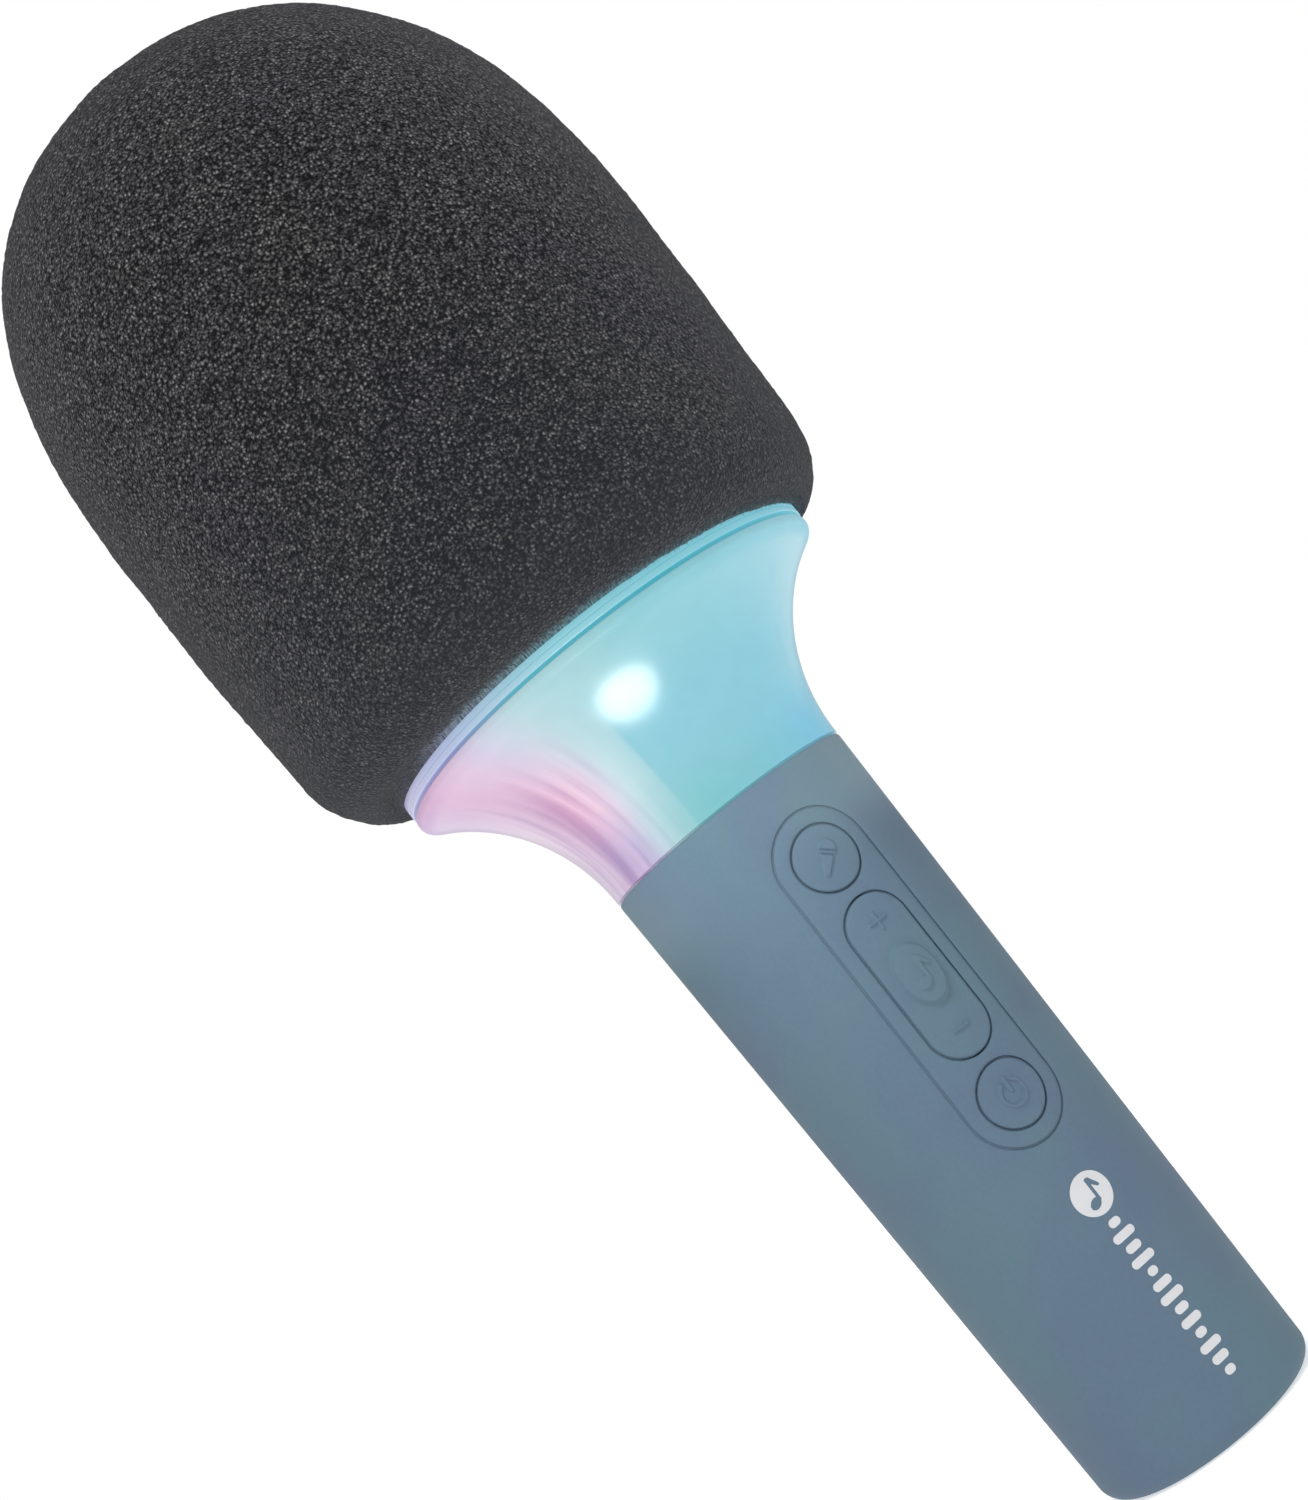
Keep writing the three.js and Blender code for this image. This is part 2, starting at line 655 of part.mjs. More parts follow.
function makeBasket() {
  const [low, high] = BASKET_Z;
  const inside = BASKET_RADIUS - BASKET_WALL;
  const spigotLow = REFLECTOR_TOP_Z + 0.3;
  const cupFloor = spigotLow + BASKET_WALL;
  const cupRadius = BASKET_SPIGOT_RADIUS - BASKET_WALL;
  const outline = [
    [5, spigotLow],
    [BASKET_SPIGOT_RADIUS, spigotLow],
    [BASKET_SPIGOT_RADIUS, low],
    [BASKET_RADIUS - 1, low],
    [BASKET_RADIUS, low + 1],
    [BASKET_RADIUS, high],
    [inside, high],
    [inside, low + BASKET_WALL],
    [cupRadius, low + BASKET_WALL],
    [cupRadius, cupFloor],
    [5, cupFloor],
  ];
  const body = cut(revolve(outline, FINE), ...screwHoles(basketScrews, [120, 140]));
  part("speaker_basket", body, blackPlastic);
  basketScrews.forEach((at, i) => {
    screw("basket_screw_" + (i + 1), at, cupFloor + 0.1, 7);
  });
}

function makeBaffle() {
  const plate = ring(22, BASKET_RADIUS, ...BAFFLE_Z, FINE);
  const notch = post(1.3, [WIRE_NOTCH_RADIUS, 0], [BAFFLE_Z[0] - 1, BAFFLE_Z[1] + 1], 12);
  const holes = screwHoles(speakerScrews, [160, 175]);
  part("speaker_baffle", cut(plate, notch, ...holes), blackPlastic);
}

function makeSpeaker() {
  const seat = BAFFLE_Z[1] + 0.15;
  const frame = [
    [SPEAKER_FLANGE_RADIUS, seat],
    [SPEAKER_FLANGE_RADIUS, seat + 1],
    [20.4, seat + 1],
    [20.4, seat - 1],
    [14, 161.4],
    [6.8, 161.4],
    [6.8, 160.4],
    [15, 160.4],
    [21.6, seat - 1.2],
    [21.6, seat],
  ];
  const body = cut(revolve(frame, MEDIUM), ...screwHoles(speakerScrews, [160, 175]));
  part("speaker_frame", body, steel);
  part("speaker_top_plate", ring(6.6, MAGNET_RADIUS, 158.8, 160.2), steel);
  part("speaker_magnet", ring(7.2, MAGNET_RADIUS, 152.6, 158.6), ferrite);
  const yoke = [
    [0, 150.6],
    [MAGNET_RADIUS - 0.4, 150.6],
    [MAGNET_RADIUS, 151],
    [MAGNET_RADIUS, 152.4],
    [5.3, 152.4],
    [5.3, 160.2],
    [0, 160.2],
  ];
  part("speaker_yoke", revolve(yoke, MEDIUM), steel);
  part("voice_coil", ring(...COIL_RADIUS, 155, 164.4, COARSE), copper);
  const cone = [
    [6.4, 163.2],
    [18.2, 169.6],
    [18.2, 170.2],
    [6.4, 163.9],
  ];
  part("speaker_cone", revolve(cone, MEDIUM), paper);
  const cap = [
    ...arc([0, 158.5], 9, 90, 46, 3),
    ...arc([0, 158.5], 8.5, 46, 90, 3),
  ];
  part("speaker_dust_cap", revolve(cap.map(([r, z]) => [r, z + 0.4]), COARSE), paper);
  const roll = [
    ...arc([20.5, seat + 1.2], 2, 0, 180, 5),
    ...arc([20.5, seat + 1.2], 1.5, 180, 0, 4),
  ];
  part("speaker_surround", revolve(roll), greyRubber);
  speakerScrews.forEach((at, i) => screw("speaker_screw_" + (i + 1), at, seat + 1.1, 5));
}

// ---- Wires ----
function makeWires() {
  const solder = [-6.4, 91];
  wire(
    "speaker_wire_red",
    [
      [-3, ...solder],
      [-3, -4, 106],
      [-2.2, -1, 120],
      [-2.2, -1, 132],
      [-6, -4, 142],
      [-17, -6, 152],
      [-17.6, -6.5, 159],
    ],
    redWire,
  );
  wire(
    "speaker_wire_black",
    [
      [-1, ...solder],
      [-1, -4, 106],
      [-0.2, -2.4, 120],
      [-0.2, -2.4, 132],
      [-3, -8, 142],
      [-13, -12, 152],
      [-13.6, -12.6, 159],
    ],
    blackWire,
  );
  wire(
    "capsule_wire",
    [
      [2.5, ...solder],
      [2.5, -4, 106],
      [2.6, 0, 120],
      [2.6, 0, 133],
      [10, 0, 144],
      [26, 0, 156],
      [WIRE_NOTCH_RADIUS, 0, 165],
      [WIRE_NOTCH_RADIUS, 0, 172],
      [29.6, 0, 184],
      [26, 0, 200],
      [14, 0, 210],
      [4, 0, 208.6],
      [0.2, 0, 210.8],
      [0, 0, 217],
    ],
    blackWire,
  );
  wire(
    "battery_wire_red",
    [
      [0, CELL_Y, 89.8],
      [0.5, CELL_Y - 1.5, 91.3],
      [3, -1, 91.6],
      [5.5, -4.5, 89.5],
      [6, -6.4, 86.5],
    ],
    redWire,
  );
  wire(
    "battery_wire_black",
    [
      [0, CELL_Y - 10.2, 28],
      [2, -6.3, 33],
      [4.5, -6, 38],
      [6, -6.4, 44],
    ],
    blackWire,
  );
}

makeHandleSleeve();
makeButtonPanel();
makeRoundKey("voice_button", PANEL_Z + KEY_PITCH);
makeRockerKey();
makeRoundKey("power_button", PANEL_Z - KEY_PITCH);
makeModePlunger();
makeKeypadMat();
makeSwitches();
makeSwitchFrame();
makeMainBoard();
makeChassis();
makeCell();
makeBase();
makeChargingSocket();
makeNeck();
makeReflectorCore();
makeLamps();
makeFoam();
makeGrille();
makeCapsule();
makeBasket();
makeBaffle();
makeSpeaker();
makeWires();

export default microphone;
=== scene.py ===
"""Looks of the toy microphone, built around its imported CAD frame. Metres, +Z up, keys face -Y."""

import json
import math
import random

import bmesh
import bpy
import numpy as np
from mathutils import Matrix, Vector, noise
from mathutils.geometry import delaunay_2d_cdt


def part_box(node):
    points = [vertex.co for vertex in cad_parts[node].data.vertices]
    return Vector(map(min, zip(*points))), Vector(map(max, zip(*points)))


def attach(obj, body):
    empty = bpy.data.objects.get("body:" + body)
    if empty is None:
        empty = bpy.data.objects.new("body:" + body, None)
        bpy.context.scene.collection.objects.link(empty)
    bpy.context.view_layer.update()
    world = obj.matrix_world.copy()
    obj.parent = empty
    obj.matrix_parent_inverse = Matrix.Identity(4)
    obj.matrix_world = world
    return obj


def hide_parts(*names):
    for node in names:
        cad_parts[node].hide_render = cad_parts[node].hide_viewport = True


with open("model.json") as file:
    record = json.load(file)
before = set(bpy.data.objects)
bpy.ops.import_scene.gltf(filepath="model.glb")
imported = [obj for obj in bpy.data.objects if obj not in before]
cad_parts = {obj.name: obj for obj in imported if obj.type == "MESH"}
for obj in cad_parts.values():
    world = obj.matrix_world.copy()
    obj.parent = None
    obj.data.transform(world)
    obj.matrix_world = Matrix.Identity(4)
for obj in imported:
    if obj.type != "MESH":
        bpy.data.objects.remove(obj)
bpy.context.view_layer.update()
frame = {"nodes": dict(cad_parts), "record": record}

MM = 0.001
TAU = 2 * math.pi
random.seed(7)


# ---- Driving sizes, in metres: from the frame where a node's box shows them ----
def node_top(node):
    """The height of a CAD node's highest point, to a hundredth of a millimetre."""
    return round(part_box(node)[1].z, 5)


def node_foot(node):
    return round(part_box(node)[0].z, 5)


def node_half_width(node):
    return round(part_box(node)[1].x, 5)


HANDLE_TOP_Z = node_top("handle_sleeve")
HANDLE_FOOT_R = 16.8 * MM
HANDLE_TOP_R = 19.3 * MM
HANDLE_WALL = 2 * MM
HANDLE_FILLET = 2.8 * MM
HANDLE_ROUND_Z = 101.9 * MM  # where the sleeve's top edge starts to round
BASE_R = node_half_width("base_plate")
BASE_THICKNESS = node_top("base_plate")
GAP = 0.3 * MM
PANEL_FLANGE = 1.4 * MM
PANEL_Z = (node_top("button_panel") + node_foot("button_panel")) / 2
PANEL_WIDTH = 2 * (node_half_width("button_panel") - PANEL_FLANGE)
PANEL_LENGTH = node_top("button_panel") - node_foot("button_panel") - 2 * PANEL_FLANGE
KEY_FLANGE_DEPTH = 5.1 * MM
KEY_FLANGE_THICKNESS = 0.8 * MM
KEY_FLANGE_MARGIN = 0.9 * MM
KEY_R = node_half_width("voice_button") - KEY_FLANGE_MARGIN
KEY_PITCH = node_top("voice_button") - KEY_FLANGE_MARGIN - KEY_R - PANEL_Z
KEY_PROUD = 0.2 * MM
ROCKER_LENGTH = node_top("volume_mode_key") - node_foot("volume_mode_key") - 2 * KEY_FLANGE_MARGIN
PIP_R = 1.5 * MM
ROUND_PIP_Y = -11.4 * MM
ROCKER_PIP_Y = -11.75 * MM
ROCKER_PIP_OFFSET = 8.4 * MM
ROCKER_SIGN_OFFSET = 8.6 * MM
FLARE_R = 27.8 * MM
FLARE_END = 118.4  # where the lip starts, in degrees round the flare's circle
FLARE_START_Z = 102.7 * MM
NECK_FOOT_Z = node_foot("neck_diffuser")
NECK_WALL = 2.2 * MM
LIP_R = node_half_width("neck_diffuser")
LIP_Z = (127.04 * MM, 128.8 * MM)
RING_Z = (129.3 * MM, node_top("light_ring"))
RING_NOTCH_Z = 130.25 * MM
RING_STEP_Z = 131.8 * MM
FOAM_R = node_half_width("foam_windscreen")
FOAM_WIDEST_Z = 182 * MM
FOAM_POWER = 2.45
FOAM_FOOT_R = 43.1 * MM
FOAM_CORNER = 12 * MM
FOAM_FOOT_Z = 130.4 * MM
FOAM_THICKNESS = 9.2 * MM
TOP_Z = 238.3 * MM
GRILLE_R = node_half_width("grille_dome")
GRILLE_SHOULDER_Z = 192 * MM

# ---- Camera: below the head's height, turned to the handle's left, and rolled ----
VIEW_AZIMUTH = math.radians(-21)
VIEW_ELEVATION = math.radians(-8.2)
VIEW_ROLL = math.radians(38.57)
VIEW_DISTANCE = 307.4 * MM
VIEW_RIGHT = Vector((math.cos(VIEW_AZIMUTH), math.sin(VIEW_AZIMUTH), 0))
VIEW_AIM = Vector((0, 0, 116.8 * MM)) - 2.05 * MM * VIEW_RIGHT


def make_camera():
    back = Vector(
        (
            math.sin(VIEW_AZIMUTH) * math.cos(VIEW_ELEVATION),
            -math.cos(VIEW_AZIMUTH) * math.cos(VIEW_ELEVATION),
            math.sin(VIEW_ELEVATION),
        )
    )
    up = back.cross(VIEW_RIGHT)
    across = math.cos(VIEW_ROLL) * VIEW_RIGHT - math.sin(VIEW_ROLL) * up
    upward = math.sin(VIEW_ROLL) * VIEW_RIGHT + math.cos(VIEW_ROLL) * up
    data = bpy.data.cameras.new("camera")
    data.sensor_width = 36
    data.lens = 52.8
    data.clip_start = 0.01
    data.clip_end = 50
    camera = bpy.data.objects.new("camera", data)
    bpy.context.scene.collection.objects.link(camera)
    turn = Matrix((across, upward, back)).transposed().to_4x4()
    camera.matrix_world = Matrix.Translation(VIEW_AIM + VIEW_DISTANCE * back) @ turn
    bpy.context.scene.camera = camera


# ---- Materials ----
class Nodes:
    """A material's node tree with short ways to add to it. Points are the piece's own, in metres."""

    def __init__(self, name):
        self.material = bpy.data.materials.new(name)
        self.material.use_nodes = True
        self.tree = self.material.node_tree
        self.shader = self.tree.nodes["Principled BSDF"]
        self.point = self.add("TexCoord").outputs["Object"]

    def add(self, kind, **settings):
        node = self.tree.nodes.new("ShaderNode" + kind)
        for key, value in settings.items():
            setattr(node, key, value)
        return node

    def link(self, source, target):
        self.tree.links.new(source, target)

    def put(self, socket, value):
        if isinstance(value, (int, float, tuple)):
            socket.default_value = value
        else:
            self.link(value, socket)

    def set(self, **values):
        for name, value in values.items():
            self.put(self.shader.inputs[name.replace("_", " ")], value)

    def math(self, operation, a, b=0.0, clamp=False):
        node = self.add("Math", operation=operation, use_clamp=clamp)
        self.put(node.inputs[0], a)
        self.put(node.inputs[1], b)
        return node.outputs[0]

    def scaled(self, value, factor, offset):
        made = self.math("MULTIPLY_ADD", value, factor)
        made.node.inputs[2].default_value = offset
        return made

    def rise(self, value, start, span):
        """From 0 to 1 as a value goes from start over a span."""
        return self.math("DIVIDE", self.math("SUBTRACT", value, start), span, clamp=True)

    def split(self):
        """The point's coordinates, as outputs X, Y and Z."""
        node = self.add("SeparateXYZ")
        self.link(self.point, node.inputs[0])
        return node.outputs

    def noise(self, size, detail=2.0, point=None):
        """Noise from 0 to 1 with lumps about this size, in metres."""
        node = self.add("TexNoise")
        self.link(point or self.point, node.inputs["Vector"])
        node.inputs["Scale"].default_value = 1 / size
        node.inputs["Detail"].default_value = detail
        return node.outputs["Fac"]

    def ramp(self, value, stops, interpolation="LINEAR"):
        """A colour for each value. A stop's colour may be one number, for a grey."""
        node = self.add("ValToRGB")
        ramp = node.color_ramp
        ramp.interpolation = interpolation
        while len(ramp.elements) < len(stops):
            ramp.elements.new(1.0)
        for element, (position, color) in zip(ramp.elements, stops):
            element.position = position
            element.color = (*color, 1) if isinstance(color, tuple) else (color, color, color, 1)
        self.put(node.inputs["Fac"], value)
        return node.outputs["Color"]

    def mix(self, share, a, b, blend="MIX"):
        node = self.add("Mix", data_type="RGBA", blend_type=blend)
        for socket, value in ((node.inputs[0], share), (node.inputs[6], a), (node.inputs[7], b)):
            self.put(socket, (*value, 1) if isinstance(value, tuple) and len(value) == 3 else value)
        return node.outputs[2]

    def bump(self, height, strength, depth):
        node = self.add("Bump")
        node.inputs["Strength"].default_value = strength
        node.inputs["Distance"].default_value = depth
        self.link(height, node.inputs["Height"])
        return node.outputs["Normal"]


def srgb(red, green, blue):
    """A display colour from 0 to 255 as linear light."""
    return tuple(
        c / 12.92 if c <= 0.04045 else ((c + 0.055) / 1.055) ** 2.4
        for c in (red / 255, green / 255, blue / 255)
    )


def shade(color, factor):
    return tuple(min(1.0, c * factor) for c in color)


def around(m):
    """The azimuth as a share of a turn, 0 at the back and 0.5 at the keys, and the height."""
    parts = m.split()
    angle = m.math("ARCTAN2", parts["X"], m.math("MULTIPLY", parts["Y"], -1.0))
    return m.scaled(angle, 1 / TAU, 0.5), parts["Z"]


def turn_stops(stops):
    """Stops in degrees from the keys, as stops of around()'s share of a turn."""
    return [(0.5 + degrees / 360, srgb(*c) if isinstance(c, tuple) else c) for degrees, c in stops]


# The ring's colours, in degrees from the keys.
RING_STOPS = [
    (-180, (186, 196, 228)),
    (-120, (206, 206, 232)),
    (-85, (204, 206, 236)),
    (-62, (190, 204, 236)),
    (-45, (180, 214, 234)),
    (-28, (158, 220, 232)),
    (0, (142, 212, 226)),
    (40, (138, 208, 226)),
    (110, (150, 206, 232)),
    (180, (186, 196, 228)),
]

# How strongly the ring's painted glow shows on the foam's cut edge round the ring, in degrees from the
# keys.
FRINGE_GLOW_STOPS = [
    (-180, 0.2),
    (-95, 0.12),
    (-74, 0.15),
    (-60, 0.6),
    (-20, 0.62),
    (15, 0.3),
    (60, 0.15),
    (180, 0.2),
]
FRINGE_REACH = 2.3 * MM
FRINGE_TOP_Z = 136 * MM
STRAND_WIDTH = 0.22 * MM
STRAND_LENGTH = 1.2 * MM


def foam_fringe(m):
    """How strongly the ring's painted glow shows in the fibres at the foam's cut edge, and its colour."""
    parts = m.split()
    across = m.math("POWER", parts["X"], 2.0)
    along = m.math("POWER", parts["Y"], 2.0)
    r = m.math("SQRT", m.math("ADD", across, along))
    away = m.math("DIVIDE", m.math("SUBTRACT", r, LIP_R), FRINGE_REACH)
    near = m.math("SUBTRACT", 1.0, away, clamp=True)
    low = m.math("LESS_THAN", parts["Z"], FRINGE_TOP_Z)
    fall = m.math("MULTIPLY", m.math("POWER", near, 2.2), low)
    share, _ = around(m)
    strand = m.add("CombineXYZ")
    m.put(strand.inputs["X"], m.math("MULTIPLY", share, TAU * LIP_R / STRAND_WIDTH))
    m.put(strand.inputs["Y"], m.math("DIVIDE", r, STRAND_LENGTH))
    fibres = m.ramp(m.noise(1.0, 3, point=strand.outputs[0]), [(0.38, 0.1), (0.66, 1.0)])
    # Painted glow of the ring's light on the foam's edge, strongest from -60 to -20 degrees.
    glow_share = m.ramp(share, turn_stops(FRINGE_GLOW_STOPS))
    glow = m.ramp(share, turn_stops(RING_STOPS))
    return m.math("MULTIPLY", m.math("MULTIPLY", fall, fibres), glow_share), glow


GRANULE_SIZE = 0.5 * MM


def foam_material():
    """Dark foam: small lit granules, smoother and paler towards its foot, with the lit fringe below."""
    m = Nodes("foam")
    cells = m.add("TexVoronoi")
    m.link(m.point, cells.inputs["Vector"])
    cells.inputs["Scale"].default_value = 1 / GRANULE_SIZE
    tone = m.add("SeparateColor")
    m.link(cells.outputs["Color"], tone.inputs[0])
    granule = m.math("SUBTRACT", 0.78, cells.outputs["Distance"])
    share_lit = m.math("ADD", m.math("MULTIPLY", tone.outputs[0], 0.6), 0.5)
    lit = m.math("MULTIPLY", granule, share_lit)
    fine = m.math("SUBTRACT", m.noise(0.3 * MM, 2), 0.5)
    grain = m.math("ADD", lit, m.math("MULTIPLY", fine, 1.3), clamp=True)
    patches = m.noise(16 * MM, 3)
    base = m.ramp(
        grain,
        [
            (0.02, srgb(22, 22, 24)),
            (0.25, srgb(50, 50, 52)),
            (0.50, srgb(87, 86, 87)),
            (0.80, srgb(150, 149, 146)),
        ],
    )
    tint = m.ramp(patches, [(0.3, (0.88, 0.88, 0.93)), (0.7, (1.0, 1.0, 0.97))])
    up = m.rise(m.split()["Z"], FOAM_FOOT_Z, TOP_Z - FOAM_FOOT_Z)
    even = m.ramp(up, [(0.02, 0.62), (0.12, 0.28), (0.42, 0.05), (0.62, 0.0)])
    smoother = m.mix(even, base, srgb(58, 61, 65))
    fringe, glow = foam_fringe(m)
    m.set(
        Base_Color=m.mix(1.0, smoother, tint, "MULTIPLY"),
        Emission_Color=m.mix(fringe, (0.0, 0.0, 0.0), glow),
        Emission_Strength=1.0,
        Roughness=1.0,
        Specular_IOR_Level=0.0,
        Sheen_Weight=0.17,
        Sheen_Roughness=0.42,
        Normal=m.bump(grain, 1.0, 0.35 * MM),
    )
    m.shader.inputs["Sheen Tint"].default_value = (0.75, 0.75, 0.8, 1)
    return m.material


# How much of the neck's light falls on the handle's top round the axis, in degrees from the keys.
SPILL_STOPS = [
    (-180, 0.06),
    (-84, 0.06),
    (-61, 0.034),
    (-41, 0.003),
    (-21, 0.003),
    (-1, 0.032),
    (19, 0.06),
    (39, 0.088),
    (180, 0.06),
]
SPILL_TINT = (0.82, 1.02, 1.05)


def soft_touch_material(name, color, teal):
    """Slate soft-touch plastic with a faint mottle, lit near its top by the neck's light."""
    m = Nodes(name)
    share, height = around(m)
    near = m.ramp(m.rise(height, 86 * MM, 11 * MM), [(0.0, 0.0), (1.0, 1.0)], "EASE")
    levels = [(at, tuple(level * c for c in SPILL_TINT)) for at, level in turn_stops(SPILL_STOPS)]
    spill = m.ramp(share, levels)
    mottle = m.noise(20 * MM, 2)
    speck = m.noise(0.5 * MM, 2)
    base = m.ramp(mottle, [(0.4, color), (0.6, teal)])
    speckle = m.ramp(speck, [(0.3, 0.97), (0.7, 1.02)])
    grain = m.noise(0.12 * MM, 2)
    wear = m.scaled(m.noise(9 * MM, 3), 0.12, 0.58)
    m.set(
        Base_Color=m.mix(1.0, base, speckle, "MULTIPLY"),
        Roughness=wear,
        Specular_IOR_Level=0.22,
        Emission_Color=m.mix(near, (0.0, 0.0, 0.0), spill),
        Emission_Strength=1.0,
        Normal=m.bump(grain, 0.3, 0.02 * MM),
    )
    return m.material


# The lit neck's colours round the handle, in degrees from the keys: at its foot, its waist and its lip.
# Partly painted reflection: the paler band that ends in the sharp step at -31 degrees.
GLOW_LOW = [
    (-180, (196, 204, 232)),
    (-131, (222, 208, 232)),
    (-93, (228, 214, 235)),
    (-85, (222, 204, 231)),
    (-79, (212, 188, 219)),
    (-73, (195, 172, 212)),
    (-69, (196, 174, 214)),
    (-65, (203, 183, 220)),
    (-62, (212, 190, 226)),
    (-59, (198, 186, 222)),
    (-54, (202, 198, 226)),
    (-49, (195, 211, 228)),
    (-43, (183, 220, 227)),
    (-37, (164, 214, 220)),
    (-32, (154, 211, 217)),
    (-31, (140, 206, 213)),
    (-21, (133, 204, 212)),
    (0, (135, 203, 215)),
    (19, (136, 206, 226)),
    (34, (135, 207, 234)),
    (47, (140, 209, 236)),
    (62, (156, 212, 234)),
    (110, (172, 213, 238)),
    (180, (196, 204, 232)),
]
GLOW_MIDDLE = [
    (-180, (200, 208, 233)),
    (-131, (224, 210, 232)),
    (-99, (232, 214, 233)),
    (-90, (230, 206, 230)),
    (-83, (215, 184, 216)),
    (-76, (213, 176, 209)),
    (-71, (216, 172, 207)),
    (-68, (228, 183, 215)),
    (-65, (238, 194, 224)),
    (-61, (230, 188, 218)),
    (-57, (238, 204, 229)),
    (-52, (232, 210, 232)),
    (-47, (218, 224, 239)),
    (-41, (200, 229, 237)),
    (-35, (185, 224, 231)),
    (-32, (172, 219, 229)),
    (-31, (147, 209, 223)),
    (-21, (142, 208, 224)),
    (24, (141, 208, 225)),
    (39, (146, 210, 228)),
    (54, (155, 213, 229)),
    (110, (168, 213, 236)),
    (180, (200, 208, 233)),
]
GLOW_HIGH = [
    (-180, (192, 208, 232)),
    (-131, (214, 206, 232)),
    (-105, (217, 196, 227)),
    (-90, (219, 187, 220)),
    (-80, (224, 188, 219)),
    (-73, (228, 195, 224)),
    (-65, (229, 203, 228)),
    (-58, (220, 210, 234)),
    (-51, (208, 218, 233)),
    (-43, (190, 222, 229)),
    (-35, (177, 220, 226)),
    (-24, (170, 218, 224)),
    (-16, (157, 214, 222)),
    (-9, (150, 211, 221)),
    (10, (149, 211, 222)),
    (28, (155, 213, 226)),
    (45, (163, 216, 229)),
    (110, (165, 213, 234)),
    (180, (192, 208, 232)),
]


# Soft streaks run up the pink side, about this many to a full turn, turned so that a deep one is violet.
STREAKS = 62
STREAK_SHIFT = 1.7
STREAK_STOPS = [(-100, 0), (-84, 1), (-56, 1), (-36, 0)]


def glow_color(m):
    """The neck's colour at a point, from the three rings of colour blended up its height."""
    share, height = around(m)
    low, middle, high = (m.ramp(share, turn_stops(stops)) for stops in (GLOW_LOW, GLOW_MIDDLE, GLOW_HIGH))
    along = m.add("CombineXYZ")
    m.put(along.inputs["X"], m.math("SUBTRACT", m.math("MULTIPLY", share, STREAKS), STREAK_SHIFT))
    m.put(along.inputs["Y"], m.math("DIVIDE", height, 30 * MM))
    streak = m.ramp(
        m.noise(1.0, 2, point=along.outputs[0]),
        [(0.36, (0.86, 0.8, 0.88)), (0.5, (1, 1, 1)), (0.64, (1.12, 1.16, 1.1))],
    )
    where = m.ramp(share, turn_stops(STREAK_STOPS))
    low, middle = (m.mix(where, c, m.mix(1.0, c, streak, "MULTIPLY")) for c in (low, middle))
    waver = m.math("MULTIPLY", m.noise(5 * MM, 2), 3 * MM)
    level = m.math("ADD", height, waver)
    to_middle = m.rise(level, 107.5 * MM, 7 * MM)
    to_high = m.rise(level, 118.5 * MM, 8 * MM)
    return m.mix(to_high, m.mix(to_middle, low, middle), high), height


def neck_material():
    """The lit diffuser, glossy below its lip."""
    m = Nodes("neck_glow")
    color, height = glow_color(m)
    haze = m.ramp(m.noise(3 * MM, 3), [(0.3, 0.98), (0.7, 1.01)])
    tinted = m.mix(1.0, color, haze, "MULTIPLY")
    # The lip is blasted matt, so it shows no highlight line.
    gloss = m.scaled(m.rise(height, 126.2 * MM, 0.8 * MM), -0.55, 0.6)
    m.set(
        Base_Color=m.mix(1.0, tinted, (0.4, 0.4, 0.4), "MULTIPLY"),
        Roughness=0.5,
        Specular_IOR_Level=0.0,
        Emission_Color=tinted,
        Emission_Strength=0.5,
        Coat_Weight=gloss,
        Coat_Roughness=0.2,
        Normal=m.bump(m.noise(12 * MM, 2), 0.04, 0.1 * MM),
    )
    return m.material


# The colours of the painted shade in the groove under the ring, also used along its notch and at its step.
GROOVE_SHADE_STOPS = [
    (-180, (120, 130, 180)),
    (-85, (160, 160, 206)),
    (-62, (148, 154, 202)),
    (-40, (98, 186, 204)),
    (0, (80, 182, 200)),
    (50, (104, 194, 212)),
    (180, (120, 130, 180)),
]


# How much painted shade the ring has up its height, from the groove to the step, with some along the notch
# and at the step: stops over RING_SPAN.
RING_SPAN = (128.6 * MM, 4 * MM)
RING_SHADE = [
    (0.0, 1.0),
    (0.165, 1.0),
    (0.19, 0.0),
    (0.375, 0.0),
    (0.41, 0.4),
    (0.45, 0.08),
    (0.65, 0.25),
    (0.75, 0.4),
]


def ring_material():
    """The lit ring, with painted shade in deeper colours in the groove under it, along the notch across it
    and at its step.
    """
    m = Nodes("ring_glow")
    share, height = around(m)
    light = m.ramp(share, turn_stops(RING_STOPS))
    dark = m.ramp(share, turn_stops(GROOVE_SHADE_STOPS))
    # Painted shade: deeper colours in the groove, along the notch and at the step.
    painted_shade = m.ramp(m.rise(height, *RING_SPAN), RING_SHADE)
    color = m.mix(painted_shade, light, dark)
    m.set(
        Base_Color=m.mix(1.0, color, (0.42, 0.42, 0.42), "MULTIPLY"),
        Roughness=0.4,
        Specular_IOR_Level=0.1,
        Emission_Color=color,
        Emission_Strength=0.52,
        Coat_Weight=0.3,
        Coat_Roughness=0.25,
        Normal=m.bump(m.noise(1.5 * MM, 2), 0.08, 0.05 * MM),
    )
    return m.material


def plain_material(name, color, rough, metal=0.0, grain=0.3 * MM, depth=0.02 * MM, spread=0.12):
    m = Nodes(name)
    tone = m.noise(grain * 12, 3)
    base = m.ramp(tone, [(0.3, shade(color, 1 - spread)), (0.7, shade(color, 1 + spread))])
    wear = m.scaled(m.noise(grain * 6, 3), 0.16, max(0.02, rough - 0.08))
    m.set(Base_Color=base, Roughness=wear, Normal=m.bump(m.noise(grain, 2), 0.3, depth))
    m.shader.inputs["Metallic"].default_value = metal
    return m.material


SLATE = srgb(89, 108, 127)
TEAL_SLATE = srgb(89, 113, 126)


